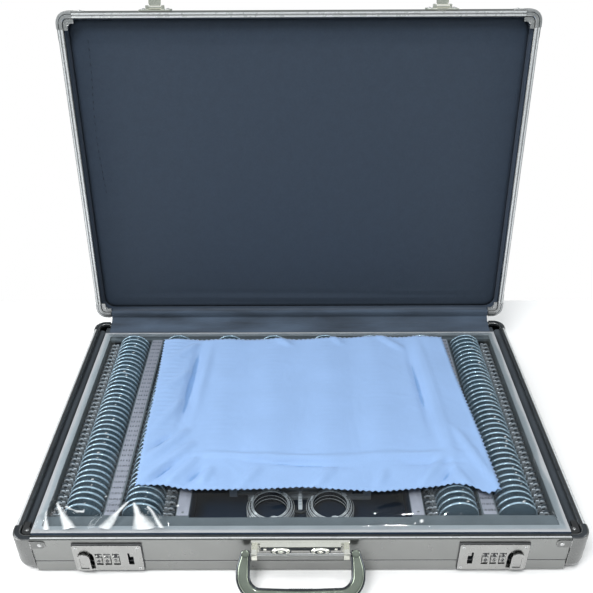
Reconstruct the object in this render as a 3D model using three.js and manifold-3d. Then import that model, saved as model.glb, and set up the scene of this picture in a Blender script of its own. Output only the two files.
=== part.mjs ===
// Trial lens set: an aluminium attache case with its lid open, a tray of trial lenses in rows,
// a trial frame in the tray's front compartment, a clear film and a cleaning cloth.
// Millimetres, +X to the right, +Y towards the hinges, +Z up.
// The origin is the middle of the base's underside.

import * as THREE from "three";
import { mergeVertices } from "three/addons/utils/BufferGeometryUtils.js";
import Module from "manifold-3d";

// Case
const CASE_WIDTH = 520;
const CASE_DEPTH = 360;
const BASE_HEIGHT = 43;
const LID_HEIGHT = 22;
const GAP = 0.3;
const LID_OPEN_ANGLE = 97;
const RAIL_INSET = 1.2;
const CORNER_LENGTH = 18;
const CORNER_RADIUS = 13;
const PANEL_THICKNESS = 2.2;
const BACK_RIM_DROP = 1.2;

// Tray and lenses
const TRAY_HALF_WIDTH = 243;
const TRAY_FRONT = -171;
const TRAY_BACK = 153.5;
const TRAY_UNDERSIDE = 11;
const TRAY_TOP = 41.6;
const BOARD_THICKNESS = 3.6;
const POCKET_FLOOR = 13.8;
const POCKET_FRONT = -150;
const POCKET_BACK = 139;
const CENTRE_POCKET_FRONT = -84;
const LENS_RADIUS = 19;
const LENS_THICKNESS = 2.6;
const LENS_PITCH = 7.5;
const LENS_CENTRE_HEIGHT = 33.1;
const LAST_LENS_Y = 133.5;
const SIDE_ROW_LENSES = 38;
const OUTER_ROW_X = 202.7;
const INNER_ROW_X = 148.3;
const NEAR_CENTRE_ROW_X = 85.7;
const CENTRE_ROW_X = 31.3;

// Front fittings
const DIAL_XS = [-182.4, -174.6, -166.8];
const DIAL_AXIS_Y = -174.9;
const DIAL_AXIS_Z = 19;
const HASP_X = -153.5;
const HASP_PIVOT_Y = -182.5;
const HASP_PIVOT_Z = 52;
const HANDLE_PIVOT_Y = -187.5;
const HANDLE_PIVOT_Z = 33;
const HANDLE_DROOP = 35;

// Hinge
const HINGE_Y = 183;
const HINGE_Z = BASE_HEIGHT + GAP / 2;
const HINGE_HALF_LENGTH = 210;
const HINGE_KNUCKLES = 9;

// Trial frame
const EYE_X = 28.5;
const EYE_Y = -126;

const HALF_WIDTH = CASE_WIDTH / 2;
const HALF_DEPTH = CASE_DEPTH / 2;
const LID_BOTTOM = BASE_HEIGHT + GAP;
const LID_TOP = LID_BOTTOM + LID_HEIGHT;
const RAIL_X = HALF_WIDTH - RAIL_INSET;
const RAIL_Y = HALF_DEPTH - RAIL_INSET;
const CORNER_X = HALF_WIDTH - CORNER_LENGTH;
const CORNER_Y = HALF_DEPTH - CORNER_LENGTH;

const wasm = await Module();
wasm.setup();

// ---------------------------------------------------------------- materials

function material(color, roughness, metalness) {
  return new THREE.MeshStandardMaterial({ color, roughness, metalness });
}

const MATERIALS = {
  aluminium: material(0xb8babd, 0.42, 0.9),
  corner: material(0xc4c6c8, 0.3, 0.9),
  skin: material(0xa9acb0, 0.5, 0.6),
  chrome: material(0xd8dadb, 0.12, 1.0),
  brass: material(0x8f8a72, 0.3, 1.0),
  dial: material(0x9a9da0, 0.35, 0.8),
  lining: material(0x3e4b5a, 0.95, 0.0),
  tray: material(0x6d7072, 0.6, 0.1),
  edging: material(0xc9c6c4, 0.45, 0.3),
  lens: material(0xbfc9c8, 0.15, 0.7),
  film: material(0xdfe5e8, 0.08, 0.0),
  cloth: material(0x9bb9e6, 0.9, 0.0),
};

// ---------------------------------------------------------------- solids

// A closed geometry as a solid that can be joined and cut.
function solid(geometry) {
  const loose = geometry.index ? geometry.toNonIndexed() : geometry;
  const bare = new THREE.BufferGeometry();
  bare.setAttribute("position", loose.getAttribute("position"));
  const merged = mergeVertices(bare, 1e-4);
  return new wasm.Manifold(
    new wasm.Mesh({
      numProp: 3,
      vertProperties: new Float32Array(merged.attributes.position.array),
      triVerts: new Uint32Array(merged.index.array),
    }),
  );
}

function geometryOf(manifold) {
  const mesh = manifold.getMesh();
  const geometry = new THREE.BufferGeometry();
  geometry.setAttribute("position", new THREE.BufferAttribute(mesh.vertProperties, 3));
  geometry.setIndex(new THREE.BufferAttribute(mesh.triVerts, 1));
  const flat = geometry.toNonIndexed();
  flat.computeVertexNormals();
  return flat;
}

function join(...pieces) {
  return geometryOf(pieces.map(solid).reduce((whole, piece) => whole.add(piece)));
}

function cut(body, ...tools) {
  return geometryOf(tools.map(solid).reduce((whole, tool) => whole.subtract(tool), solid(body)));
}

function box(x0, x1, y0, y1, z0, z1) {
  const geometry = new THREE.BoxGeometry(x1 - x0, y1 - y0, z1 - z0);
  return geometry.translate((x0 + x1) / 2, (y0 + y1) / 2, (z0 + z1) / 2);
}

// The outline is in (x, y) for axis z, (y, z) for axis x and (x, z) for axis y.
function prism(outline, axis, from, to, holes = []) {
  const shape = new THREE.Shape(outline.map(([u, v]) => new THREE.Vector2(u, v)));
  for (const hole of holes) {
    shape.holes.push(new THREE.Path(hole.map(([u, v]) => new THREE.Vector2(u, v))));
  }
  const geometry = new THREE.ExtrudeGeometry(shape, { depth: to - from, bevelEnabled: false });
  if (axis === "x") {
    geometry.applyMatrix4(new THREE.Matrix4().set(0, 0, 1, from, 1, 0, 0, 0, 0, 1, 0, 0, 0, 0, 0, 1));
  } else if (axis === "y") {
    geometry.applyMatrix4(new THREE.Matrix4().set(1, 0, 0, 0, 0, 0, -1, to, 0, 1, 0, 0, 0, 0, 0, 1));
  } else {
    geometry.translate(0, 0, from);
  }
  return geometry;
}

function arc(u, v, radius, startDegrees, endDegrees, segments) {
  const points = [];
  for (let i = 0; i <= segments; i++) {
    const angle = THREE.MathUtils.degToRad(startDegrees + ((endDegrees - startDegrees) * i) / segments);
    points.push([u + radius * Math.cos(angle), v + radius * Math.sin(angle)]);
  }
  return points;
}

function circle(u, v, radius, sides) {
  return arc(u, v, radius, 180 / sides, 360 + 180 / sides, sides).slice(0, sides);
}

function rod(axis, from, to, u, v, radius, sides, bore = 0) {
  return prism(circle(u, v, radius, sides), axis, from, to, bore ? [circle(u, v, bore, sides)] : []);
}

function rectangle(u0, u1, v0, v1) {
  return [[u0, v0], [u1, v0], [u1, v1], [u0, v1]];
}

function roundedRectangle(u0, u1, v0, v1, radius, segments) {
  return [
    ...arc(u1 - radius, v0 + radius, radius, -90, 0, segments),
    ...arc(u1 - radius, v1 - radius, radius, 0, 90, segments),
    ...arc(u0 + radius, v1 - radius, radius, 90, 180, segments),
    ...arc(u0 + radius, v0 + radius, radius, 180, 270, segments),
  ];
}

// A rectangle with a square notch at each corner.
function notchedRectangle(halfX, halfY, notchX, notchY) {
  return [
    [notchX, -halfY], [notchX, -notchY], [halfX, -notchY], [halfX, notchY],
    [notchX, notchY], [notchX, halfY], [-notchX, halfY], [-notchX, notchY],
    [-halfX, notchY], [-halfX, -notchY], [-notchX, -notchY], [-notchX, -halfY],
  ];
}

// A box with a bottom as wide as the top is narrow: four corners at each of two heights.
function frustum(bottom, top, z0, z1) {
  const corners = [[0, 2], [1, 2], [1, 3], [0, 3]];
  const vertices = [
    ...corners.flatMap(([i, j]) => [bottom[i], bottom[j], z0]),
    ...corners.flatMap(([i, j]) => [top[i], top[j], z1]),
  ];
  const faces = [0, 2, 1, 0, 3, 2, 4, 5, 6, 4, 6, 7];
  for (let i = 0; i < 4; i++) {
    const next = (i + 1) % 4;
    faces.push(i, next, next + 4, i, next + 4, i + 4);
  }
  const geometry = new THREE.BufferGeometry();
  geometry.setAttribute("position", new THREE.Float32BufferAttribute(vertices, 3));
  geometry.setIndex(faces);
  return geometry;
}

// Sweeps a section of (inward distance, height) points past stations on the outer line.
function sweep(section, stations) {
  const points = section.map(([u, h]) => new THREE.Vector2(u, h));
  if (THREE.ShapeUtils.isClockWise(points)) points.reverse();
  const count = points.length;
  const vertices = stations.flatMap(({ at, inward }) =>
    points.flatMap((point) => [
      at[0] + inward[0] * point.x,
      at[1] + inward[1] * point.x,
      point.y,
    ]),
  );
  const faces = [];
  for (let ring = 0; ring + 1 < stations.length; ring++) {
    for (let i = 0; i < count; i++) {
      const a = ring * count + i;
      const b = ring * count + ((i + 1) % count);
      faces.push([a, b, b + count], [a, b + count, a + count]);
    }
  }
  const last = (stations.length - 1) * count;
  for (const [a, b, c] of THREE.ShapeUtils.triangulateShape(points, [])) {
    faces.push([a, c, b], [a + last, b + last, c + last]);
  }
  const geometry = new THREE.BufferGeometry();
  geometry.setAttribute("position", new THREE.Float32BufferAttribute(vertices, 3));
  geometry.setIndex(faces.flatMap((face) => (facesOut(vertices, faces) ? face : face.toReversed())));
  return geometry;
}

// Whether the enclosed volume comes out positive, which it does when the faces point out.
function facesOut(vertices, faces) {
  const corner = (index) => new THREE.Vector3().fromArray(vertices, index * 3);
  let volume = 0;
  for (const [a, b, c] of faces) {
    volume += corner(a).dot(corner(b).cross(corner(c)));
  }
  return volume > 0;
}

const root = new THREE.Group();

function part(name, geometry, finish, { parent = root, mirror = [1, 1, 1] } = {}) {
  const mesh = new THREE.Mesh(geometry, finish.clone());
  mesh.name = name;
  mesh.scale.set(...mirror);
  parent.add(mesh);
  return mesh;
}

const SIDES = [["left", 1], ["right", -1]];

// The lid is modelled closed, in the base's frame, and swings open about the hinge axis.
const lidSwing = new THREE.Group();
lidSwing.position.set(0, HINGE_Y, HINGE_Z);
lidSwing.rotation.x = THREE.MathUtils.degToRad(-LID_OPEN_ANGLE);
root.add(lidSwing);
const lid = new THREE.Group();
lid.position.set(0, -HINGE_Y, -HINGE_Z);
lidSwing.add(lid);

// ---------------------------------------------------------------- case shell

// The aluminium section: a wall with a groove, a hollow double-line rim and a foot for the panel.
function railSection(height, grooved) {
  const groove = grooved ? [[0, 13.4], [0.7, 13.8], [0.7, 14.6], [0, 15]] : [];
  return [
    [0, 1.5], ...groove, [0, height - 1], [0.7, height],
    [2.5, height], [2.9, height - 0.9], [3.5, height - 0.9], [3.9, height],
    [5.7, height], [6.4, height - 0.8], [6.4, height - 3.6], [1.8, height - 5.2],
    [1.8, 3.7], [8, 3.7], [8, 2.5], [4.5, 2.5], [4.5, 0], [1.5, 0],
  ];
}

function cornerSection(height) {
  const wall = 2;
  const roundness = 12;
  return [
    ...arc(roundness, roundness, roundness, 270, 180, 4),
    [0, height - 1.2], [1.2, height], [6.6, height], [7.2, height - 0.8],
    [7.2, height - 3], [wall, height - 5], [wall, 12.4], [4.8, 5.4], [roundness, wall],
  ];
}

function longRail(side, height, grooved) {
  const end = CORNER_X - GAP;
  return sweep(railSection(height, grooved), [
    { at: [-end, side * RAIL_Y], inward: [0, -side] },
    { at: [end, side * RAIL_Y], inward: [0, -side] },
  ]);
}

function sideRail(height, grooved) {
  const end = CORNER_Y - GAP;
  return sweep(railSection(height, grooved), [
    { at: [-RAIL_X, -end], inward: [1, 0] },
    { at: [-RAIL_X, end], inward: [1, 0] },
  ]);
}

// A rounded corner piece with a riveting tab along each rail.
function cornerCap(height) {
  const turn = arc(0, 0, 1, 180, 270, 4).map(([x, y]) => ({
    at: [
      -HALF_WIDTH + CORNER_RADIUS * (1 + x),
      -HALF_DEPTH + CORNER_RADIUS * (1 + y),
    ],
    inward: [-x, -y],
  }));
  const shell = sweep(cornerSection(height), [
    { at: [-HALF_WIDTH, -CORNER_Y], inward: [1, 0] },
    ...turn,
    { at: [-CORNER_X, -HALF_DEPTH], inward: [0, 1] },
  ]);
  const tabThickness = RAIL_INSET - GAP;
  const tabLow = height - 11.5;
  const tabHigh = height - 2;
  const tabLength = 13;
  const frontTab = box(
    -CORNER_X - 1, -CORNER_X + tabLength,
    -HALF_DEPTH, -HALF_DEPTH + tabThickness, tabLow, tabHigh,
  );
  const sideTab = box(
    -HALF_WIDTH, -HALF_WIDTH + tabThickness,
    -CORNER_Y - 1, -CORNER_Y + tabLength, tabLow, tabHigh,
  );
  return join(shell, frontTab, sideTab);
}

// Turns a half shell built upwards from its panel into the lid's, which hangs from its panel.
function asLid(geometry) {
  const turned = geometry.clone().applyMatrix4(new THREE.Matrix4().makeScale(1, 1, -1));
  const flipped = turned.index ? turned.toNonIndexed() : turned;
  const position = flipped.getAttribute("position").array;
  for (let i = 0; i < position.length; i += 9) {
    for (let k = 0; k < 3; k++) {
      [position[i + 3 + k], position[i + 6 + k]] = [position[i + 6 + k], position[i + 3 + k]];
    }
  }
  return flipped.translate(0, 0, LID_TOP);
}

function lockOpenings() {
  return SIDES.map(([, side]) => {
    const xs = [side * -202.5, side * -145.5].sort((a, b) => a - b);
    return box(xs[0], xs[1], -182, -170, 6.5, 34.5);
  });
}

function addShell() {
  const panel = notchedRectangle(
    RAIL_X - 4.5 - GAP, RAIL_Y - 4.5 - GAP, CORNER_X - GAP, CORNER_Y - GAP,
  );
  const halves = [
    { name: "base", height: BASE_HEIGHT, grooved: true, parent: root, place: (shape) => shape },
    { name: "lid", height: LID_HEIGHT, grooved: false, parent: lid, place: asLid },
  ];
  for (const { name, height, grooved, parent, place } of halves) {
    const front = longRail(-1, height, grooved);
    const frontRail = name === "base" ? cut(front, ...lockOpenings()) : front;
    const backRail = longRail(1, height - BACK_RIM_DROP, grooved);
    part(`${name}_rail_front`, place(frontRail), MATERIALS.aluminium, { parent });
    part(`${name}_rail_back`, place(backRail), MATERIALS.aluminium, { parent });
    for (const [side, x] of SIDES) {
      const mirror = [x, 1, 1];
      part(`${name}_rail_${side}`, place(sideRail(height, grooved)), MATERIALS.aluminium, { parent, mirror });
      for (const [end, y] of [["front", 1], ["back", -1]]) {
        part(`${name}_corner_${end}_${side}`, place(cornerCap(height)), MATERIALS.corner, {
          parent,
          mirror: [x, y, 1],
        });
      }
    }
    const panelName = name === "base" ? "base_floor_panel" : "lid_panel";
    part(panelName, place(prism(panel, "z", 0, PANEL_THICKNESS)), MATERIALS.skin, { parent });
  }
}

// A foam tray with a floor and four walls, notched at the corners and behind the locks.
function addBaseLiner() {
  const wallX = RAIL_X - 1.8 - GAP;
  const wallY = RAIL_Y - 1.8 - GAP;
  const outline = notchedRectangle(wallX, wallY, CORNER_X - GAP, CORNER_Y - GAP);
  const floorTop = TRAY_UNDERSIDE - GAP;
  const hollow = box(-247, 247, -wallY + 1.2, 157, floorTop, 60);
  const backTrim = box(-300, 300, 150, 200, 36.3, 60);
  const frontTrim = box(-300, 300, -200, -wallY + 2, 36, 60);
  const lockRoom = SIDES.map(([, side]) => {
    const xs = [side * -203.5, side * -144.5].sort((a, b) => a - b);
    return box(xs[0], xs[1], -178, -162.5, 3, 50);
  });
  const liner = cut(prism(outline, "z", 4, 37.5), hollow, backTrim, frontTrim, ...lockRoom);
  part("base_liner", liner, MATERIALS.lining);
}

function addLidLining() {
  const outline = roundedRectangle(-252, 252, -172, 172, 14, 5);
  part("lid_lining", prism(outline, "z", LID_TOP - 7.1, LID_TOP - 4.1), MATERIALS.lining, { parent: lid });
}

// ---------------------------------------------------------------- tray and lenses

function pockets() {
  const top = TRAY_TOP + 5;
  const pocket = (x0, x1, front, back) => box(x0, x1, front, back, POCKET_FLOOR, top);
  const left = [
    pocket(-234.5, -183, POCKET_FRONT, POCKET_BACK),
    pocket(-168, -115.5, POCKET_FRONT, POCKET_BACK),
    pocket(-116, -66.3, CENTRE_POCKET_FRONT, POCKET_BACK),
  ];
  const right = [
    pocket(183, 234.5, POCKET_FRONT, POCKET_BACK),
    pocket(115.5, 168, POCKET_FRONT, POCKET_BACK),
    pocket(66.3, 116, CENTRE_POCKET_FRONT, POCKET_BACK),
  ];
  const centre = pocket(-50.7, 50.7, CENTRE_POCKET_FRONT, POCKET_BACK);
  const frameCompartment = pocket(-103, 103, -152, -88);
  return [...left, ...right, centre, frameCompartment];
}

function addTray() {
  const boardUnderside = TRAY_TOP - BOARD_THICKNESS;
  const board = box(-TRAY_HALF_WIDTH, TRAY_HALF_WIDTH, TRAY_FRONT, TRAY_BACK, boardUnderside, TRAY_TOP);
  const body = box(-237, 237, -155, 131, TRAY_UNDERSIDE, boardUnderside + 1);
  part("lens_tray", cut(join(board, body), ...pockets()), MATERIALS.tray);

  const edgingWidth = 8;
  const outer = rectangle(-TRAY_HALF_WIDTH, TRAY_HALF_WIDTH, TRAY_FRONT, TRAY_BACK);
  const inner = rectangle(
    -TRAY_HALF_WIDTH + edgingWidth, TRAY_HALF_WIDTH - edgingWidth,
    TRAY_FRONT + edgingWidth, TRAY_BACK - edgingWidth,
  );
  const edging = prism(outer, "z", TRAY_TOP + GAP, TRAY_TOP + GAP + 1, [inner]);
  part("tray_edging", edging, MATERIALS.edging);
}

// One row of lenses on edge, joined below the tray's surface by a web and by its handles.
function lensRow(x, handleSide, lensCount) {
  const webTop = 36;
  const rise = THREE.MathUtils.radToDeg(Math.asin((webTop - LENS_CENTRE_HEIGHT) / LENS_RADIUS));
  const below = arc(x, LENS_CENTRE_HEIGHT, LENS_RADIUS, 180 - rise, 360 + rise, 8);
  const above = arc(x, LENS_CENTRE_HEIGHT, LENS_RADIUS, rise, 180 - rise, 5);
  const front = LAST_LENS_Y - (lensCount - 1) * LENS_PITCH - LENS_THICKNESS / 2;
  const back = LAST_LENS_Y + LENS_THICKNESS / 2;
  const handleXs = [x + handleSide * 17, x + handleSide * 30].sort((a, b) => a - b);
  const pieces = [
    prism(below, "y", front, back),
    box(handleXs[0], handleXs[1], front, back, 28, 35),
  ];
  for (let i = 0; i < lensCount; i++) {
    const y = LAST_LENS_Y - i * LENS_PITCH;
    const foot = [[x - 17, webTop - 1], [x + 17, webTop - 1]];
    pieces.push(prism([...above, ...foot], "y", y - LENS_THICKNESS / 2, y + LENS_THICKNESS / 2));
  }
  return join(...pieces);
}

// Two rows whose handles face each other share one pocket.
function lensPair(leftX, leftCount, rightX, rightCount) {
  const shared = Math.min(leftCount, rightCount);
  const front = LAST_LENS_Y - (shared - 1) * LENS_PITCH;
  const bridge = box(leftX + 29, rightX - 29, front, LAST_LENS_Y, 29, 34);
  return join(lensRow(leftX, 1, leftCount), lensRow(rightX, -1, rightCount), bridge);
}

function addLenses() {
  const rows = {
    lens_row_1: lensRow(-OUTER_ROW_X, -1, SIDE_ROW_LENSES),
    lens_rows_2_3: lensPair(-INNER_ROW_X, SIDE_ROW_LENSES, -NEAR_CENTRE_ROW_X, 29),
    lens_rows_4_5: lensPair(-CENTRE_ROW_X, 28, CENTRE_ROW_X, 28),
    lens_rows_6_7: lensPair(NEAR_CENTRE_ROW_X, 29, INNER_ROW_X, SIDE_ROW_LENSES),
    lens_row_8: lensRow(OUTER_ROW_X, 1, SIDE_ROW_LENSES),
  };
  for (const [name, geometry] of Object.entries(rows)) {
    part(name, geometry, MATERIALS.lens);
  }
}

// ---------------------------------------------------------------- trial frame

function addTrialFrame() {
  const endBlock = (side) => box(side < 0 ? -70 : 62, side < 0 ? -62 : 70, -104, -90, 18, 32);
  const bar = join(box(-62.5, 62.5, -98, -92, 22, 28), endBlock(-1), endBlock(1));
  part("trial_frame_bar", bar, MATERIALS.chrome);

  // A lens ring hangs from a carriage under the bar's front face, with a knob on top.
  const hoop = rod("z", 20, 28, -EYE_X, EYE_Y, 23, 20, 19.5);
  const carriage = box(-36, -21, -105, -98.6, 20, 28);
  const saddle = box(-33, -24, -101, -91, 27.5, 30);
  const knob = rod("z", 29, 34, -EYE_X, -95, 4, 8);
  const clearance = box(-40, -17, -98.6, -90, 15, 28.3);
  const bore = rod("z", 15, 35, -EYE_X, EYE_Y, 19.5, 20);
  const ring = cut(join(hoop, carriage, saddle, knob), clearance, bore);

  // A turning drum inside the ring, with a graduated flange that carries the lens clips.
  const barrel = rod("z", 18, 31, -EYE_X, EYE_Y, 19.1, 16, 16.5);
  const flange = rod("z", 28.3, 30.3, -EYE_X, EYE_Y, 20.6, 16, 16.5);
  const clips = [40, 160, 280].map((angle) => {
    const clip = box(17.2, 19.6, -2, 2, 29, 34);
    return clip.rotateZ(THREE.MathUtils.degToRad(angle)).translate(-EYE_X, EYE_Y, 0);
  });
  const drum = join(barrel, flange, ...clips);

  for (const [side, x] of SIDES) {
    const mirror = [x, 1, 1];
    part(`trial_frame_ring_${side}`, ring, MATERIALS.chrome, { mirror });
    part(`trial_frame_drum_${side}`, drum, MATERIALS.dial, { mirror });
  }

  const post = box(-2, 2, -134, -91, 31.3, 33.3);
  const pads = box(-6.5, 6.5, -141, -131, 31.3, 35.3);
  const stem = box(-2, 2, -93, -91, 28.3, 31.8);
  part("trial_frame_nose_rest", join(post, pads, stem), MATERIALS.chrome);

  // The folded temples lie on top of each other under the rings.
  const temple = (y) => join(box(-68, 52, y, y + 5, 14.3, 17.5), box(-70, -64, y, y + 5, 14.3, 17.6));
  part("trial_frame_temple_left", temple(-97), MATERIALS.chrome);
  part("trial_frame_temple_right", temple(-104), MATERIALS.chrome, { mirror: [-1, 1, 1] });
}

// ---------------------------------------------------------------- film and cloth

function addSheets() {
  const foot = TRAY_TOP + 1.6;
  const crown = 53.1;
  const thickness = 0.6;
  const outside = frustum([-240, 240, -168.5, 150.5], [-224, 224, -149, 138], foot, crown);
  const inside = frustum(
    [-239, 239, -167.5, 149.5], [-223.4, 223.4, -148.4, 137.4], foot - 0.001, crown - thickness,
  );
  part("clear_film", cut(outside, inside), MATERIALS.film);
  part("cleaning_cloth", box(-157, 178, -122, 128, crown + 0.4, crown + 1.6), MATERIALS.cloth);
}

// ---------------------------------------------------------------- locks

function archedOutline(x0, x1, z0, z1) {
  const radius = (x1 - x0) / 2;
  return [[x0, z0], [x1, z0], ...arc((x0 + x1) / 2, z1 - radius, radius, 0, 180, 6)];
}

function lockHousing() {
  const faceFront = -181.2;
  const faceBack = -HALF_DEPTH + RAIL_INSET - GAP;
  const face = prism(roundedRectangle(-205, -143, 4, 37, 1.5, 2), "y", faceFront, faceBack);
  const body = box(-202, -146, faceBack - 0.5, -163, 7, 34);
  const cavity = box(-200.5, -147.5, faceBack, -160, 8.5, 32.5);
  const dialWindows = DIAL_XS.map((x) => box(x - 3.1, x + 3.1, -183, -178, DIAL_AXIS_Z - 7.7, DIAL_AXIS_Z + 7.7));
  const haspWindow = box(HASP_X - 2.5, HASP_X + 2.5, -183, -178, 12, 27);
  const slideWindow = prism(archedOutline(-202, -187, 6.4, 29.5), "y", -183, faceBack);
  const shell = cut(join(face, body), cavity, ...dialWindows, haspWindow, slideWindow);
  const webs = [[-187, -185.6], [-163, -161.5]].map(([x0, x1]) => box(x0, x1, faceBack - 0.5, -165, 8, 28));
  const shaftHole = rod("x", -190, -158, DIAL_AXIS_Y, DIAL_AXIS_Z, 2, 10);
  return cut(join(shell, ...webs), shaftHole);
}

function releaseSlider() {
  const buttonBack = -179.4;
  const button = prism(archedOutline(-201.5, -190, 7, 28), "y", -184, buttonBack);
  const thumbRelief = prism(archedOutline(-199.5, -192, 9, 26), "y", -185, -183.2);
  const stem = box(-196, -191, -180, -175.4, 22, 27);
  const riser = box(-196, -191, -178.6, -175.4, 22, 31.4);
  const bar = box(-196, -152, -177, -175.4, 28.6, 31.4);
  const catchPlate = box(HASP_X - 1.5, HASP_X + 1.5, -178.7, -175.4, 19.5, 31.4);
  return join(cut(button, thumbRelief), stem, riser, bar, catchPlate);
}

function addLocks() {
  const dial = (x) => rod("x", x - 2.8, x + 2.8, DIAL_AXIS_Y, DIAL_AXIS_Z, 8.5, 10, 2.2);
  for (const [side, x] of SIDES) {
    const mirror = [x, 1, 1];
    part(`lock_housing_${side}`, lockHousing(), MATERIALS.chrome, { mirror });
    part(`release_slider_${side}`, releaseSlider(), MATERIALS.chrome, { mirror });
    const shaft = rod("x", -188.5, -160, DIAL_AXIS_Y, DIAL_AXIS_Z, 1.7, 10);
    part(`dial_shaft_${side}`, shaft, MATERIALS.brass, { mirror });
    DIAL_XS.forEach((dialX, index) => {
      part(`combination_dial_${side}_${index + 1}`, dial(dialX), MATERIALS.dial, { mirror });
    });
  }
}

// A hasp on the lid's front wall, built hanging down over its lock.
function addHasps() {
  const bracketBack = -HALF_DEPTH + RAIL_INSET - GAP;
  const halfWidth = 6.5;
  for (const [side, x] of SIDES) {
    const mirror = [x, 1, 1];
    const plate = box(HASP_X - 17, HASP_X + 17, bracketBack - 1.5, bracketBack, 47, 61);
    const ears = [-1, 1].map((end) => {
      const inner = HASP_X + end * (halfWidth + 0.4);
      const outer = HASP_X + end * (halfWidth + 3.4);
      const xs = [inner, outer].sort((a, b) => a - b);
      return box(xs[0], xs[1], -184.7, bracketBack - 1, 49.4, 54.6);
    });
    const pin = rod("x", HASP_X - 9, HASP_X + 9, HASP_PIVOT_Y, HASP_PIVOT_Z, 0.9, 8);
    part(`hasp_bracket_${side}`, join(plate, ...ears, pin), MATERIALS.chrome, { parent: lid, mirror });

    const swing = new THREE.Group();
    swing.position.set(0, HASP_PIVOT_Y, HASP_PIVOT_Z);
    swing.rotation.x = -Math.PI / 2;
    lid.add(swing);
    const eye = rod("x", HASP_X - halfWidth, HASP_X + halfWidth, 0, 0, 1.9, 10);
    const strap = prism(roundedRectangle(HASP_X - halfWidth, HASP_X + halfWidth, -38, -1, 3, 3), "y", -1.9, -0.1);
    const tongue = box(HASP_X - 1.8, HASP_X + 1.8, -1, 8, -38.8 + 2, -34.5);
    const pinHole = rod("x", HASP_X - 10, HASP_X + 10, 0, 0, 1.2, 10);
    const hasp = cut(join(eye, strap, tongue), pinHole);
    part(`hasp_${side}`, hasp, MATERIALS.chrome, { parent: swing, mirror });
  }
}

// ---------------------------------------------------------------- carrying handle

function addHandle() {
  const back = -HALF_DEPTH + RAIL_INSET - GAP;
  const front = back - 2.4;
  const plate = box(-44, 44, front, back, 28.5, 41.8);
  const topBar = box(-36, 36, front - 5, front + 0.5, 37.2, 41.5);
  const ears = [-43.5, 38.5].map((x) => box(x, x + 5, -191, front + 0.5, 29, 37));
  const hole = rod("x", -60, 60, HANDLE_PIVOT_Y, HANDLE_PIVOT_Z, 1.9, 10);
  part("handle_bracket", cut(join(plate, topBar, ...ears), hole), MATERIALS.chrome);

  const pivot = rod("x", -53.5, 53.5, HANDLE_PIVOT_Y, HANDLE_PIVOT_Z, 1.5, 10);
  part("handle_pivot_rod", pivot, MATERIALS.chrome);

  // A bowed grip between two flat arms, built level and pointing away from the case.
  const outer = [[53.6, 3.5], [54.4, -12], [53.8, -24], [50.5, -33.5], [43, -39.5], [22, -42]];
  const inner = [[20, -29], [34, -27.5], [40.5, -22.5], [44, -14], [44.2, 3.5]];
  const mirrored = (points) => points.toReversed().map(([x, y]) => [-x, y]);
  const outline = [...outer, ...mirrored(outer), ...mirrored(inner), ...inner];
  const grip = prism(outline, "z", -4, 4);
  const bores = rod("x", -60, 60, 0, 0, 1.9, 10);
  const handle = part("carry_handle", cut(grip, bores), MATERIALS.chrome);
  handle.position.set(0, HANDLE_PIVOT_Y, HANDLE_PIVOT_Z);
  handle.rotation.x = THREE.MathUtils.degToRad(HANDLE_DROOP);
}

// ---------------------------------------------------------------- piano hinge and flap

// A leaf with every second knuckle; the base's leaf hangs below the axis and the lid's stands above.
function hingeLeaf(upper) {
  const leafBack = HALF_DEPTH - RAIL_INSET + GAP;
  const sign = upper ? 1 : -1;
  const height = (distance) => HINGE_Z + sign * distance;
  const span = (a, b) => [height(a), height(b)].sort((low, high) => low - high);
  const [leafLow, leafHigh] = span(0.55, 14.8);
  const [webLow, webHigh] = span(0.55, 2.2);
  const leaf = box(-HINGE_HALF_LENGTH, HINGE_HALF_LENGTH, leafBack, leafBack + 1, leafLow, leafHigh);
  const pitch = (2 * HINGE_HALF_LENGTH) / HINGE_KNUCKLES;
  const knuckles = [];
  for (let i = upper ? 1 : 0; i < HINGE_KNUCKLES; i += 2) {
    const x0 = -HINGE_HALF_LENGTH + i * pitch + GAP;
    const x1 = x0 + pitch - 2 * GAP;
    knuckles.push(rod("x", x0, x1, HINGE_Y, HINGE_Z, 2.4, 10));
    knuckles.push(box(x0, x1, leafBack, HINGE_Y - 0.5, webLow, webHigh));
  }
  const bore = rod("x", -HINGE_HALF_LENGTH - 1, HINGE_HALF_LENGTH + 1, HINGE_Y, HINGE_Z, 1.5, 10);
  return cut(join(leaf, ...knuckles), bore);
}

function addHinge() {
  part("hinge_base_leaf", hingeLeaf(false), MATERIALS.aluminium);
  part("hinge_lid_leaf", hingeLeaf(true), MATERIALS.aluminium, { parent: lid });
  const pin = rod("x", -HINGE_HALF_LENGTH, HINGE_HALF_LENGTH, HINGE_Y, HINGE_Z, 1.1, 8);
  part("hinge_rod", pin, MATERIALS.chrome);

  // The fabric flap runs from inside the lid, over both rims, down behind the tray.
  const route = [
    [193, 54.6], [184.4, 55.2], [182.9, 54.2], [182.6, 47.6],
    [180.2, 45.9], [177.9, 43.3], [171.4, 42.9], [169.8, 41.2], [158.6, 39.6],
  ];
  const side = (distance) =>
    route.map(([y, z], i) => {
      const before = route[Math.max(i - 1, 0)];
      const after = route[Math.min(i + 1, route.length - 1)];
      const along = new THREE.Vector2(after[0] - before[0], after[1] - before[1]).normalize();
      return [y - along.y * distance, z + along.x * distance];
    });
  const outline = [...side(0.4), ...side(-0.4).toReversed()];
  part("hinge_flap", prism(outline, "x", -240, 240), MATERIALS.lining);
}

addShell();
addBaseLiner();
addLidLining();
addTray();
addLenses();
addTrialFrame();
addSheets();
addLocks();
addHasps();
addHandle();
addHinge();

export default root;
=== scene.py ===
"""Trial lens set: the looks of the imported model, for Blender 4.5.

Lengths are millimetres until make_piece() turns them into metres. What rides on the lid is drawn with the
lid closed and then turned open by LID_OPEN, about the hinge rod.
"""

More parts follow.
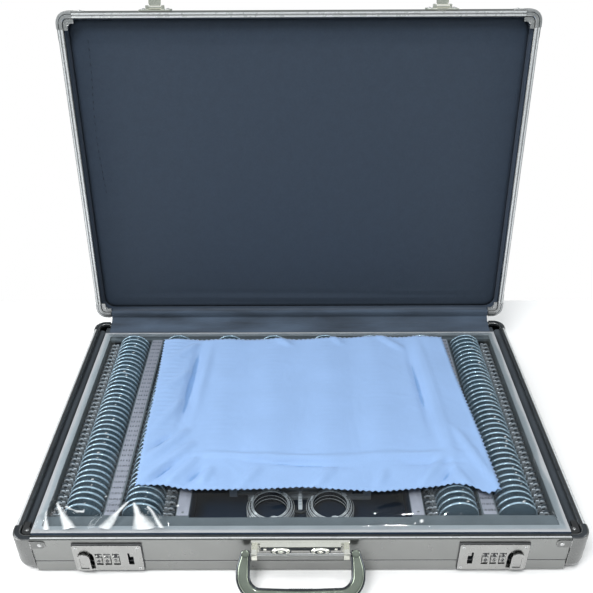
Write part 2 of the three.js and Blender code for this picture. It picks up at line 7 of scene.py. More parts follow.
import math
import random

import bmesh
import bpy
import numpy as np
from mathutils import Matrix, Vector


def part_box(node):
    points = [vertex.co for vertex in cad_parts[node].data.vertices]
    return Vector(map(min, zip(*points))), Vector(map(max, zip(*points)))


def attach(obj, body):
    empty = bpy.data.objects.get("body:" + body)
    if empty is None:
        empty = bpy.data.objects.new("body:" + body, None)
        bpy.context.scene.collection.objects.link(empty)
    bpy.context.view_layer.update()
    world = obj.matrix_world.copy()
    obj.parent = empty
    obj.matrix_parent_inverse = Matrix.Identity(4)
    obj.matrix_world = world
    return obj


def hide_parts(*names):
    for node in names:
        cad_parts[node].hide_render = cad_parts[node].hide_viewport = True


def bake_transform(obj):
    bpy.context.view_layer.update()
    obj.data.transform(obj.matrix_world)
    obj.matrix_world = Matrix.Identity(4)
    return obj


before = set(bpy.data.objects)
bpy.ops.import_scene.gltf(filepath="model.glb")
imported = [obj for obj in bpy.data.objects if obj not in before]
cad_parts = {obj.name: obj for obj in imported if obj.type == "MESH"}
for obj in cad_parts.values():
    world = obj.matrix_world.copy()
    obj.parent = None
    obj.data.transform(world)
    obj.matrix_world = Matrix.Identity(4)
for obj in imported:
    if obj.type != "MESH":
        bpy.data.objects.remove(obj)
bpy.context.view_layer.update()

MM = 0.001


def extent(node):
    """Lowest and highest corner of a CAD node, in millimetres."""
    low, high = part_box(node)
    return low / MM, high / MM


# ---------------------------------------------------------------- driving sizes, from the frame

HALF_WIDTH = extent("base_corner_front_right")[1].x
HALF_DEPTH = -extent("base_corner_front_right")[0].y
BASE_TOP = extent("base_rail_left")[1].z
LID_MOUTH = BASE_TOP + 0.3
LID_TOP = LID_MOUTH + 22
RAIL_INSET = 1.2

ROD_LOW, ROD_HIGH = extent("hinge_rod")
HINGE = Vector((0, (ROD_LOW.y + ROD_HIGH.y) / 2, (ROD_LOW.z + ROD_HIGH.z) / 2))
LID_OPEN_ANGLE = 97

BOARD_HIGH = extent("lens_tray")[1]
LENS_RADIUS, LENS_PITCH = 19, 7.5
LENS_CENTRE_Z = 33.1
BACK_LENS_Y = 133.5
HANDLE_REACH = 11
# centre of the row, number of lenses, side of the handles, CAD node
LENS_ROWS = [
    (-202.7, 38, -1, "lens_row_1"),
    (-148.3, 38, 1, "lens_rows_2_3"),
    (-85.7, 29, -1, "lens_rows_2_3"),
    (-31.3, 28, 1, "lens_rows_4_5"),
    (31.3, 28, -1, "lens_rows_4_5"),
    (85.7, 29, 1, "lens_rows_6_7"),
    (148.3, 38, -1, "lens_rows_6_7"),
    (202.7, 38, 1, "lens_row_8"),
]
SIDES = {"left": -1, "right": 1}

# ---------------------------------------------------------------- forms: (points, faces)


def loft(rings, wrap=True, caps=True, joined=False):
    """Quads between rings of equally many points; joined closes the last ring onto the first."""
    count = len(rings[0])
    points = [tuple(p) for ring in rings for p in ring]
    faces = []
    for r in range(len(rings) if joined else len(rings) - 1):
        here, there = r * count, (r + 1) % len(rings) * count
        for i in range(count if wrap else count - 1):
            j = (i + 1) % count
            faces.append((here + i, here + j, there + j, there + i))
    if caps and not joined:
        faces.append(tuple(reversed(range(count))))
        faces.append(tuple(range(len(points) - count, len(points))))
    return points, faces


def turned(profile, steps=32, joined=False):
    """A profile of (radius, height) turned about Z; joined makes a closed ring of it."""
    rings = []
    for radius, height in profile:
        angles = [2 * math.pi * i / steps for i in range(steps)]
        rings.append([(radius * math.cos(a), radius * math.sin(a), height) for a in angles])
    return loft(rings, caps=not joined, joined=joined)


def arc(centre, radius, start, stop, steps):
    """Points on an arc in a plane, angles in degrees."""
    turns = [math.radians(start + (stop - start) * i / steps) for i in range(steps + 1)]
    return [(centre[0] + radius * math.cos(t), centre[1] + radius * math.sin(t)) for t in turns]


def rounded_outline(width, depth, radius, steps=4):
    """Outline of a rounded rectangle round the origin, anticlockwise."""
    x, y = width / 2 - radius, depth / 2 - radius
    outline = []
    for quarter, (cx, cy) in enumerate([(x, y), (-x, y), (-x, -y), (x, -y)]):
        outline += arc((cx, cy), radius, 90 * quarter, 90 * quarter + 90, steps)
    return outline


def slab(low, high, corner=1.0, edge=0.3, steps=4):
    """A box along Z with rounded upright corners and rounded top and bottom edges."""
    width, depth = high[0] - low[0], high[1] - low[1]
    centre = ((low[0] + high[0]) / 2, (low[1] + high[1]) / 2)
    levels = []
    for lift, sink in ((0, 1), (0.3, 0.3), (1, 0)):
        levels.append((low[2] + edge * lift, edge * sink))
    for lift, sink in ((1, 0), (0.3, 0.3), (0, 1)):
        levels.append((high[2] - edge * lift, edge * sink))
    rings = []
    for z, inset in levels:
        outline = rounded_outline(width - 2 * inset, depth - 2 * inset, max(corner - inset, 0.05), steps)
        rings.append([(centre[0] + x, centre[1] + y, z) for x, y in outline])
    return loft(rings)


def swept(section, stations):
    """A closed section of (across, up) swept through stations of (place, inward) vectors, upright."""
    rings = []
    for place, inward in stations:
        rings.append([Vector(place) + Vector(inward) * u + Vector((0, 0, h)) for u, h in section])
    return loft(rings)


def tube(path, radius, steps=12):
    """A round bar along a path of points."""
    path = [Vector(p) for p in path]
    rings = []
    side = None
    for i, p in enumerate(path):
        along = (path[min(i + 1, len(path) - 1)] - path[max(i - 1, 0)]).normalized()
        side = side or along.orthogonal().normalized()
        side = (side - along * side.dot(along)).normalized()
        other = along.cross(side)
        ring = []
        for k in range(steps):
            turn = 2 * math.pi * k / steps
            ring.append(p + (side * math.cos(turn) + other * math.sin(turn)) * radius)
        rings.append(ring)
    return loft(rings)


def dome(radius, height, steps=16):
    """A rivet head, flat side down at z 0."""
    return turned(
        [(radius, -0.2), (radius, 0.05 * height), (radius * 0.9, 0.55 * height),
         (radius * 0.6, 0.88 * height),
         (radius * 0.25, height)], steps)


def moved(x, y, z):
    return Matrix.Translation((x, y, z))


def about(axis, degrees):
    return Matrix.Rotation(math.radians(degrees), 4, axis)


def facing(place, normal):
    """Matrix that stands Z along normal at a place."""
    return Matrix.Translation(Vector(place)) @ Vector(normal).to_track_quat("Z", "Y").to_matrix().to_4x4()


LID_OPEN = Matrix.Translation(HINGE) @ about("X", -LID_OPEN_ANGLE) @ Matrix.Translation(-HINGE)


class Shape:
    """Forms gathered into one mesh, each face with the number of its material."""

    def __init__(self):
        self.points, self.faces, self.numbers = [], [], []

    def add(self, form, place=None, material=0):
        points, faces = form
        start = len(self.points)
        self.points += [place @ Vector(p) for p in points] if place else [Vector(p) for p in points]
        self.faces += [tuple(start + i for i in face) for face in faces]
        self.numbers += [material] * len(faces)
        return self

    def turn(self, matrix):
        self.points = [matrix @ p for p in self.points]
        return self


def make_piece(name, shape, finishes, body, replaces=(), sharp=35, closed=True):
    """finishes names its materials, in the order of the numbers of the shape's faces.
    """
    mesh = bpy.data.meshes.new(name)
    mesh.from_pydata([p * MM for p in shape.points], [], shape.faces)
    for finish in finishes.split():
        mesh.materials.append(materials[finish])
    mesh.polygons.foreach_set("material_index", shape.numbers)
    if closed:
        work = bmesh.new()
        work.from_mesh(mesh)
        bmesh.ops.recalc_face_normals(work, faces=work.faces)
        work.to_mesh(mesh)
        work.free()
    mesh.shade_smooth()
    mesh.set_sharp_from_angle(angle=math.radians(sharp))
    piece = bpy.data.objects.new(name, mesh)
    bpy.context.scene.collection.objects.link(piece)
    if body:
        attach(piece, body)
    if replaces:
        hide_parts(*replaces)
    return piece


# ---------------------------------------------------------------- materials


def link_noise(tree, vector, scale, detail=3.0):
    """A noise texture; scale is waves per metre."""
    noise = tree.nodes.new("ShaderNodeTexNoise")
    noise.inputs["Scale"].default_value = scale
    noise.inputs["Detail"].default_value = detail
    tree.links.new(vector, noise.inputs["Vector"])
    return noise.outputs["Fac"]


def link_range(tree, value, low, high, from_low=0.3, from_high=0.7):
    """Stretches the middle of a noise onto low..high."""
    node = tree.nodes.new("ShaderNodeMapRange")
    node.inputs["From Min"].default_value = from_low
    node.inputs["From Max"].default_value = from_high
    node.inputs["To Min"].default_value = low
    node.inputs["To Max"].default_value = high
    tree.links.new(value, node.inputs["Value"])
    return node.outputs["Result"]


def link_mix(tree, factor, first, second):
    """Mixes two colours by a factor; either colour may be a socket or a value."""
    node = tree.nodes.new("ShaderNodeMix")
    node.data_type = "RGBA"
    tree.links.new(factor, node.inputs["Factor"])
    for socket, colour in ((node.inputs["A"], first), (node.inputs["B"], second)):
        if isinstance(colour, bpy.types.NodeSocket):
            tree.links.new(colour, socket)
        else:
            socket.default_value = (*colour, 1)
    return node.outputs["Result"]


def link_math(tree, operation, first, second):
    node = tree.nodes.new("ShaderNodeMath")
    node.operation = operation
    for socket, value in zip(node.inputs, (first, second)):
        if isinstance(value, bpy.types.NodeSocket):
            tree.links.new(value, socket)
        else:
            socket.default_value = value
    return node.outputs["Value"]


def link_weave(tree, vector, pitch, axes):
    """Threads crossing along the named axes, pitch in metres; 0 between threads, 1 on them."""
    split = tree.nodes.new("ShaderNodeSeparateXYZ")
    tree.links.new(vector, split.inputs["Vector"])
    total = None
    for axis in axes:
        turn = link_math(tree, "MULTIPLY", split.outputs[axis], 2 * math.pi / pitch)
        wave = link_math(tree, "ABSOLUTE", link_math(tree, "SINE", turn, 0.0), 0.0)
        total = wave if total is None else link_math(tree, "ADD", total, wave)
    return link_math(tree, "DIVIDE", total, float(len(axes)))


def link_wear_and_highlight(tree, radius):
    """1 along sharp edges, 0 on flat faces."""
    bevel = tree.nodes.new("ShaderNodeBevel")
    bevel.samples = 4
    bevel.inputs["Radius"].default_value = radius
    geometry = tree.nodes.new("ShaderNodeNewGeometry")
    dot = tree.nodes.new("ShaderNodeVectorMath")
    dot.operation = "DOT_PRODUCT"
    tree.links.new(bevel.outputs["Normal"], dot.inputs[0])
    tree.links.new(geometry.outputs["Normal"], dot.inputs[1])
    return link_range(tree, dot.outputs["Value"], 1.0, 0.0, 0.75, 0.98)


def make_material(name, colour, roughness, metallic=0.0, mottle=0.06, blotch=40, rough_spread=0.06,
                  grain=1500, grain_depth=0.02, stretch=(1, 1, 1), weave=None, axes="XY", weave_depth=0.1,
                  wear_and_highlight=None, sockets=None):
    """A Principled material: blotches of colour, grain or weave in its bump, uneven gloss, and edges
    lightened, partly as wear and partly as painted highlight.
    """
    material = bpy.data.materials.new(name)
    material.use_nodes = True
    tree = material.node_tree
    shader = tree.nodes["Principled BSDF"]
    shader.inputs["Metallic"].default_value = metallic
    for socket, value in (sockets or {}).items():
        shader.inputs[socket].default_value = value
    coordinates = tree.nodes.new("ShaderNodeTexCoord")
    mapping = tree.nodes.new("ShaderNodeMapping")
    mapping.inputs["Scale"].default_value = stretch
    tree.links.new(coordinates.outputs["Object"], mapping.inputs["Vector"])
    place = mapping.outputs["Vector"]

    darker = [c * (1 - mottle) for c in colour]
    lighter = [min(c * (1 + mottle), 1) for c in colour]
    blotches = link_range(tree, link_noise(tree, place, blotch), 0, 1)
    shade = link_mix(tree, blotches, darker, lighter)
    fine = link_noise(tree, place, grain, 2.0)
    if weave:
        threads = link_weave(tree, coordinates.outputs["Object"], weave, axes)
        height = link_math(tree, "ADD", threads, link_math(tree, "MULTIPLY", fine, 0.5))
        shade = link_mix(tree, link_range(tree, height, 0.4, 0, 0.5, 1.3), shade, [c * 0.5 for c in colour])
    else:
        height = fine
        shade = link_mix(tree, link_range(tree, fine, mottle, 0), shade, darker)
    # edges lightened: partly wear, partly a painted highlight
    if wear_and_highlight:
        shade = link_mix(tree, link_wear_and_highlight(tree, 0.0006), shade, wear_and_highlight)
    tree.links.new(shade, shader.inputs["Base Color"])
    gloss = link_range(tree, link_noise(tree, place, blotch * 4), roughness - rough_spread,
                       roughness + rough_spread)
    tree.links.new(gloss, shader.inputs["Roughness"])
    bump = tree.nodes.new("ShaderNodeBump")
    bump.inputs["Strength"].default_value = 0.6
    bump.inputs["Distance"].default_value = (weave_depth if weave else grain_depth) * MM
    tree.links.new(height, bump.inputs["Height"])
    tree.links.new(bump.outputs["Normal"], shader.inputs["Normal"])
    return material


def make_clear_material(name, tint, body, body_share, mirror, haze, ripple_size, ripple_depth,
                        glint_paint=None):
    """A thin clear sheet: tint passes through, body is its own colour, mirror multiplies its reflections.

    The last argument names a mesh attribute that paints the sheet white along its creases and folds: painted
    reflections.
    """
    material = bpy.data.materials.new(name)
    material.use_nodes = True
    tree = material.node_tree
    coordinates = tree.nodes.new("ShaderNodeTexCoord")
    place = coordinates.outputs["Object"]
    ripples = tree.nodes.new("ShaderNodeBump")
    ripples.inputs["Strength"].default_value = 0.2
    ripples.inputs["Distance"].default_value = ripple_depth * MM
    tree.links.new(link_noise(tree, place, ripple_size), ripples.inputs["Height"])

    clear = tree.nodes.new("ShaderNodeBsdfTransparent")
    clear.inputs["Color"].default_value = (*tint, 1)
    shader = tree.nodes["Principled BSDF"]
    shade = link_mix(tree, link_noise(tree, place, 60), [c * 0.85 for c in body],
                     [min(c * 1.15, 1) for c in body])
    tree.links.new(shade, shader.inputs["Base Color"])
    shader.inputs["Roughness"].default_value = 0.3
    through = tree.nodes.new("ShaderNodeMixShader")
    share = link_range(tree, link_noise(tree, place, 25), body_share * 0.9, body_share * 1.1)
    # painted reflections: the mesh attribute turns the milky body white along the creases
    if glint_paint:
        glint_paint_node = tree.nodes.new("ShaderNodeAttribute")
        glint_paint_node.attribute_name = glint_paint
        uneven = link_range(tree, link_noise(tree, place, 220), 0.75, 1.0)
        share = link_math(tree, "ADD", share, link_math(tree, "MULTIPLY", glint_paint_node.outputs["Fac"], uneven))
    tree.links.new(share, through.inputs[0])
    tree.links.new(clear.outputs["BSDF"], through.inputs[1])
    tree.links.new(shader.outputs["BSDF"], through.inputs[2])

    glossy = tree.nodes.new("ShaderNodeBsdfGlossy")
    glossy.inputs["Roughness"].default_value = 0.035
    tree.links.new(ripples.outputs["Normal"], glossy.inputs["Normal"])
    fresnel = tree.nodes.new("ShaderNodeFresnel")
    fresnel.inputs["IOR"].default_value = 1.45
    cloudy = link_range(tree, link_noise(tree, place, 25), 0.0, haze)
    factor = link_math(tree, "ADD", link_math(tree, "MULTIPLY", fresnel.outputs["Fac"], mirror), cloudy)
    mix = tree.nodes.new("ShaderNodeMixShader")
    tree.links.new(factor, mix.inputs[0])
    tree.links.new(through.outputs["Shader"], mix.inputs[1])
    tree.links.new(glossy.outputs["BSDF"], mix.inputs[2])
    tree.links.new(mix.outputs["Shader"], tree.nodes["Material Output"].inputs["Surface"])
    return material


NAVY = (0.0295, 0.0445, 0.069)
NAVY_DARK = (0.004, 0.017, 0.040)
THREAD_PITCH = 0.00062

# after the colour come roughness, metallic, mottle, blotch, rough_spread, grain and grain_depth, as in
# make_material; the two clear ones follow make_clear_material
materials = {
    "rail": make_material("satin_aluminium", (0.28, 0.285, 0.278), 0.32, 1.0, 0.05, 30, 0.05, 2200, 0.015,
                          wear_and_highlight=(0.75, 0.75, 0.75)),
    "corner": make_material("cast_corner_metal", (0.20, 0.203, 0.20), 0.3, 1.0, 0.06, 60, 0.06, 1800, 0.02,
                            wear_and_highlight=(0.75, 0.75, 0.75)),
    "lid_corner": make_material("cast_lid_corner_metal", (0.36, 0.37, 0.375), 0.3, 0.62, 0.06, 60, 0.06,
                                1800, 0.02, wear_and_highlight=(0.75, 0.75, 0.75)),
    "skin": make_material("embossed_panel_skin", (0.40, 0.42, 0.43), 0.48, 0.6, 0.03, 12, 0.06, 900, 0.16),
    "chrome": make_material("polished_chrome", (0.88, 0.88, 0.80), 0.12, 0.85, 0.04, 50, 0.03, 300, 0.01),
    # painted reflection: the handle's chrome drawn darker and greenish, for the dark green surroundings it
    # reflects
    "handle_face": make_material("handle_chrome_painted_reflection", (0.33, 0.375, 0.31), 0.16, 1.0, 0.12, 60, 0.06, 500,
                                 0.02),
    # painted dark reflection: chrome drawn dark, for the corner bands, the base rim's inner flat, the
    # handle's edges and ribs, the bracket's band and boss rings, and the trial frame's hoops
    "dark_chrome": make_material("chrome_painted_dark_reflection", (0.10, 0.11, 0.12), 0.12, 1.0, 0.2, 60, 0.05, 500,
                                 0.01),
    # painted highlight: a lighter band on the rims' flats
    "rim_band": make_material("painted_rim_highlight_band", (0.62, 0.64, 0.65), 0.3, 0.35, 0.05, 50, 0.06, 1500,
                              0.01),
    # painted shade: dark lines in the rail and rim grooves and round the lock plates
    "seam": make_material("dark_painted_shade", (0.09, 0.092, 0.095), 0.5, 0.3, 0.2, 80, 0.1, 1500, 0.02),
    "steel": make_material("small_parts_steel", (0.60, 0.61, 0.61), 0.20, 0.85, 0.05, 90, 0.06, 1500, 0.01,
                           wear_and_highlight=(0.8, 0.8, 0.8)),
    "plate": make_material("satin_lock_plate", (0.38, 0.38, 0.37), 0.24, 1.0, 0.05, 60, 0.06, 2000, 0.012,
                           wear_and_highlight=(0.8, 0.8, 0.8)),
    "dial": make_material("dial_metal", (0.36, 0.36, 0.35), 0.22, 1.0, 0.04, 200, 0.05, 1200, 0.01),
    # ink is print, and also the painted shade in the screws' cross slots
    "ink": make_material("dark_ink_and_painted_slot_shade", (0.03, 0.03, 0.035), 0.5, 0.0, 0.2, 500, 0.1, 3000, 0.004),
    "fabric": make_material("navy_lining_fabric", NAVY, 0.85, 0.0, 0.05, 120, 0.06, 520, 0.1,
                            weave=THREAD_PITCH, axes="XZ", weave_depth=0.12,
                            sockets={"Sheen Weight": 0.05, "Sheen Roughness": 0.5}),
    "flap_fabric": make_material("navy_flap_fabric", (0.045, 0.066, 0.098), 0.8, 0.0, 0.5, 45, 0.06, 420,
                                 0.15, stretch=(0.25, 1, 1), weave=THREAD_PITCH, axes="XZ",
                                 weave_depth=0.12, sockets={"Sheen Weight": 0.1}),
    "liner_fabric": make_material("navy_liner_fabric", (0.05, 0.062, 0.075), 0.85, 0.0, 0.16, 30, 0.05, 600,
                                  0.1, weave=THREAD_PITCH, axes="XY", weave_depth=0.12,
                                  sockets={"Sheen Weight": 0.15}),
    "dark_fabric": make_material("dark_compartment_fabric", NAVY_DARK, 0.9, 0.0, 0.16, 30, 0.05, 600, 0.1,
                                 weave=THREAD_PITCH, axes="XY", weave_depth=0.12),
    "thread": make_material("stitch_thread", (0.010, 0.014, 0.022), 0.8, 0.0, 0.3, 400, 0.05, 3000, 0.05),
    "board": make_material("grey_tray_board", (0.13, 0.148, 0.16), 0.62, 0.0, 0.10, 50, 0.08, 1600, 0.05),
    "rib": make_material("dark_slot_rib", (0.035, 0.045, 0.055), 0.5, 0.0, 0.15, 60, 0.08, 1600, 0.05),
    "edging": make_material("pale_tray_edging", (0.46, 0.48, 0.50), 0.36, 0.3, 0.05, 40, 0.08, 900, 0.02,
                            wear_and_highlight=(0.7, 0.7, 0.7)),
    "strip": make_material("number_strip_plate", (0.37, 0.36, 0.41), 0.5, 0.0, 0.06, 90, 0.08, 1500, 0.01),
    "plastic": make_material("black_moulded_plastic", (0.016, 0.017, 0.018), 0.38, 0.0, 0.25, 120, 0.1,
                             2600, 0.05),
    "rim": make_material("lens_rim_metal", (0.68, 0.83, 0.94), 0.2, 0.75, 0.05, 300, 0.05, 2500, 0.006),
    "handle_tab": make_material("lens_handle_metal", (0.86, 0.87, 0.90), 0.24, 0.7, 0.05, 300, 0.08, 2500,
                                0.006),
    "glass": make_clear_material("trial_lens_glass", (0.72, 0.86, 0.86), (0.21, 0.33, 0.42), 0.45, 1.6,
                                 0.01, 40, 0.05),
    "frame": make_material("trial_frame_metal", (0.95, 0.97, 1.0), 0.14, 0.45, 0.05, 200, 0.07, 1500, 0.01,
                           wear_and_highlight=(0.9, 0.9, 0.9)),
    "cloth": make_material("blue_cleaning_cloth", (0.28, 0.435, 0.715), 0.88, 0.0, 0.04, 25, 0.04, 900, 0.1,
                           weave=THREAD_PITCH, axes="XY", weave_depth=0.05,
                           sockets={"Sheen Weight": 0.15, "Sheen Roughness": 0.4}),
    "film": make_clear_material("clear_film_plastic", (0.92, 0.975, 1.0), (0.86, 0.93, 0.96), 0.006, 0.65,
                                0.01, 90, 0.2, "glint_paint"),
}

# ---------------------------------------------------------------- CAD nodes that stay, with their finish

KEPT_FINISH = {
    "base_rail_": "rail", "lid_rail_": "rail", "base_floor_panel": "skin", "lid_panel": "skin",
    "lens_tray": "board", "tray_edging": "edging", "lock_housing_": "plate", "dial_shaft_": "steel",
    "release_slider_": "plate", "trial_frame_bar": "frame", "trial_frame_temple_": "frame",
    "handle_pivot_rod": "steel", "handle_bracket": "chrome", "hasp_bracket_": "chrome", "hasp_": "chrome",
    "hinge_base_leaf": "steel", "hinge_lid_leaf": "steel", "hinge_rod": "steel",
}
BEVELS = {
    "lock_housing_": 0.5, "release_slider_": 0.6, "handle_bracket": 1.1, "hasp_bracket_": 0.35, "hasp_": 0.5,
    "trial_frame_bar": 0.6, "trial_frame_temple_": 0.5, "tray_edging": 0.25, "lens_tray": 0.4,
}
ALL_OTHERS = "plastic"


def by_prefix(table, node, fallback):
    """The value of the longest prefix that fits a node's name."""
    fitting = [prefix for prefix in table if node.startswith(prefix)]
    return table[max(fitting, key=len)] if fitting else fallback


for node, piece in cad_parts.items():
    piece.data.materials.clear()
    piece.data.materials.append(materials[by_prefix(KEPT_FINISH, node, ALL_OTHERS)])
    width = by_prefix(BEVELS, node, 0)
    if width:
        weld = piece.modifiers.new("weld", "WELD")
        weld.merge_threshold = 0.01 * MM
        bevel = piece.modifiers.new("bevel", "BEVEL")
        bevel.width = width * MM
        bevel.segments = 3
        bevel.limit_method = "ANGLE"
        bevel.angle_limit = math.radians(40)
        bevel.harden_normals = True
        bevel.use_clamp_overlap = True

# ---------------------------------------------------------------- case: corners, rivets, connectors

CORNER_LENGTH, CORNER_TURN, BALL = 18, 13, 12


def corner_section(height):
    """Section of a corner cap as (inward, up): a ball-shaped foot, an outer wall and a folded-in lip."""
    section = [(BALL - x, y) for x, y in arc((0, BALL), BALL, 270, 360, 8)]
    section += [(0, height - 1.4), (0.4, height - 0.4), (1.4, height), (6.4, height), (7.1, height - 0.5)]
    section += [(7.2, height - 3), (2, height - 5), (2, 12.4), (4.8, 5.4)]
    return section


def corner_band(height, near, far):
    """Section of the dark glossy band let into a cap's lip, a painted dark reflection, between near and far
    inwards.
    """
    return [(near, height - 0.1), (near + 0.4, height + 0.18), (far - 0.4, height + 0.18),
            (far, height - 0.1)]


def corner_stations(side, end):
    """Stations round a case corner: leg, turn, leg. side is +1 on the right, end +1 at the back."""
    centre = Vector((side * (HALF_WIDTH - CORNER_TURN), end * (HALF_DEPTH - CORNER_TURN), 0))
    stations = []
    for along in (CORNER_LENGTH, CORNER_LENGTH - 0.5):
        stations.append((Vector((side * (HALF_WIDTH - along), end * HALF_DEPTH, 0)), Vector((0, -end, 0))))
    for i in range(13):
        turn = math.radians(90 * i / 12)
        out = Vector((side * math.sin(turn), end * math.cos(turn), 0))
        stations.append((centre + out * CORNER_TURN, -out))
    for along in (CORNER_LENGTH - 0.5, CORNER_LENGTH):
        stations.append((Vector((side * HALF_WIDTH, end * (HALF_DEPTH - along), 0)), Vector((-side, 0, 0))))
    return stations


def add_corner_tabs(shape, side, end, top, down):
    """The riveted tongues that run from a cap along the two rails, 9.5 tall, below the rim."""
    reach, length, thickness, tall = 31, 15.5, 0.85, 9.5
    for along_x in (True, False):
        face = (HALF_DEPTH if along_x else HALF_WIDTH) - RAIL_INSET
        half = HALF_WIDTH if along_x else HALF_DEPTH
        outline = rounded_outline(length, tall, 3.2)
        middle = half - reach + length / 2
        height = top + down * (2 + tall / 2)
        if along_x:
            place = facing((side * middle, end * face, height), (0, end, 0))
        else:
            place = facing((side * face, end * middle, height), (side, 0, 0))
        rings = [[(x, y, z) for x, y in outline] for z in (0, thickness - 0.25)]
        rings.append([(x * 0.965, y * 0.94, thickness) for x, y in outline])
        shape.add(loft(rings), place)
        lift = place @ moved(0, 0, thickness)
        slide = Matrix.Translation(Vector((-side * 3.0, 0, 0)) if along_x else Vector((0, -end * 3.0, 0)))
        shape.add(dome(1.9, 1.0), slide @ lift, 1)


for end_name, end in (("front", -1), ("back", 1)):
    for side_name, side in SIDES.items():
        for half, height in (("base", BASE_TOP), ("lid", LID_TOP - LID_MOUTH)):
            section = corner_section(height)
            stations = corner_stations(side, end)
            middle = Vector((side * (HALF_WIDTH - 14), end * (HALF_DEPTH - 14), 0))
            plug = turned([(0.2, 0.35), (5.4, 0.35), (5.9, 0.8), (5.9, 1.8), (0.2, 1.8)], 24)
            shape = Shape()
            if half == "base":
                shape.add(swept(section, stations))
                shape.add(swept(corner_band(height, 1.5, 6.0), stations), material=2)
                add_corner_tabs(shape, side, end, BASE_TOP, -1)
                shape.add(plug, Matrix.Translation(middle))
            else:
                shape.add(swept([(u, LID_TOP - h) for u, h in section], stations))
                band = corner_band(height - 0.1, 2.5, 3.9)
                shape.add(swept([(u, LID_TOP - h) for u, h in band], stations), material=2)
                add_corner_tabs(shape, side, end, LID_MOUTH, 1)
                above = Matrix.Translation(middle + Vector((0, 0, LID_TOP)))
                shape.add(plug, above @ Matrix.Rotation(math.pi, 4, "X"))
                shape.turn(LID_OPEN)
            node = f"{half}_corner_{end_name}_{side_name}"
            metal = "corner" if half == "base" else "lid_corner"
            make_piece(node + "_cap", shape, f"{metal} steel dark_chrome", half, [node])


def screw(radius, height=0.6):
    """A cross-head screw: a low dome with two dark bars across it, painted shade for its cross slot."""
    shape = Shape().add(dome(radius, height))
    for turn in (0, 90):
        bar = slab((-radius * 0.55, -radius * 0.11, height * 0.7),
                   (radius * 0.55, radius * 0.11, height + 0.03), 0.05, 0.02)
        shape.add(bar, about("Z", turn + 20), 1)
    return shape


def add_shape(shape, other, place, offset=0):
    """Adds every face of another shape, its material numbers raised by offset."""
    start = len(shape.points)
    shape.points += [place @ p for p in other.points]
    shape.faces += [tuple(start + i for i in face) for face in other.faces]
    shape.numbers += [n + offset for n in other.numbers]


def corner_connector(side, end, top, down, reach, arm):
    """The moulding inside a rim corner, with a screw in it; reach is its length and arm its width."""
    shape = Shape()
    inner = 8.0
    x, y = HALF_WIDTH - inner, HALF_DEPTH - inner
    outline = [(x, y - 4), (x - 1.2, y - 1.2), (x - 4, y), (x - reach, y), (x - reach, y - arm)]
    outline += [(x - arm - 3, y - arm), (x - arm, y - arm - 3), (x - arm, y - reach), (x, y - reach)]
    rings = []
    for z, grow in ((0.9, 0.4), (1.3, 0), (3.4, 0)):
        half = grow * 0.5
        rings.append([(side * (px - half), end * (py - half), top + down * z) for px, py in outline])
    shape.add(loft(rings))
    place = facing((side * (x - 5), end * (y - 5), top + down * 0.9), (0, 0, -down))
    add_shape(shape, screw(1.5, 0.6), place, 1)
    return shape


for end_name, end in (("front", -1), ("back", 1)):
    for side_name, side in SIDES.items():
        if end_name == "front":
            shape = corner_connector(side, end, BASE_TOP, -1, 15, 5.5)
            make_piece(f"base_connector_{end_name}_{side_name}", shape,
                       "plastic steel ink", "base")
        shape = corner_connector(side, end, LID_MOUTH, 1, 11, 4.0).turn(LID_OPEN)
        make_piece(f"lid_connector_{end_name}_{side_name}", shape,
                   "lid_corner steel ink", "lid")


def make_rail_painted_shades():
    """Painted shade: the dark line in the groove that runs round the base, between the corner caps."""
    low_z, high_z, deep = 13.7, 14.7, 0.65
    x_end, y_end = HALF_WIDTH - CORNER_LENGTH, HALF_DEPTH - CORNER_LENGTH
    out_x, out_y = HALF_WIDTH - RAIL_INSET, HALF_DEPTH - RAIL_INSET
    shape = Shape()
    for side in (-1, 1):
        near, far = sorted((side * (out_y - deep), side * (out_y - 0.08)))
        shape.add(slab((-x_end, near, low_z), (x_end, far, high_z), 0.1, 0.1, 1))
        near, far = sorted((side * (out_x - deep), side * (out_x - 0.08)))
        shape.add(slab((near, -y_end, low_z), (far, y_end, high_z), 0.1, 0.1, 1))
    make_piece("base_rail_painted_shades", shape, "seam", "base")


def add_frame_strips(shape, near, far, low_z, high_z, material):
    """Strips along the front and both sides, between near and far inwards of the rail's wall."""
    x_end, y_end = HALF_WIDTH - CORNER_LENGTH - 0.3, HALF_DEPTH - CORNER_LENGTH - 0.3
    low, high = near - HALF_DEPTH + RAIL_INSET, far - HALF_DEPTH + RAIL_INSET
    shape.add(slab((-x_end, low, low_z), (x_end, high, high_z), 0.05, 0.04, 1), material=material)
    for side in (-1, 1):
        low, high = sorted((side * (HALF_WIDTH - RAIL_INSET - near), side * (HALF_WIDTH - RAIL_INSET - far)))
        shape.add(slab((low, -y_end, low_z), (high, y_end, high_z), 0.05, 0.04, 1), material=material)


def make_rim_bands():
    """Bands on the two flats of each rim: painted highlight, on the base's inner flat a painted dark
    reflection; and a line in the groove between them, painted shade on the base, in the pale edging colour on
    the lid.
    """
    for half, rim, out in (("base", BASE_TOP, 1), ("lid", LID_MOUTH, -1)):
        shape = Shape()
        inner = 2 if half == "base" else 0
        groove = 1 if half == "base" else 3
        for near, far, start, stop, material in ((0.8, 2.45, 0, 0.12, 0), (3.85, 5.65, 0, 0.12, inner),
                                                 (2.95, 3.45, -0.88, -0.5, groove)):
            low_z, high_z = sorted((rim + out * start, rim + out * stop))
            add_frame_strips(shape, near, far, low_z, high_z, material)
        if half == "lid":
            shape.turn(LID_OPEN)
        make_piece(f"{half}_rim_bands", shape,
                   "rim_band seam dark_chrome edging", half)


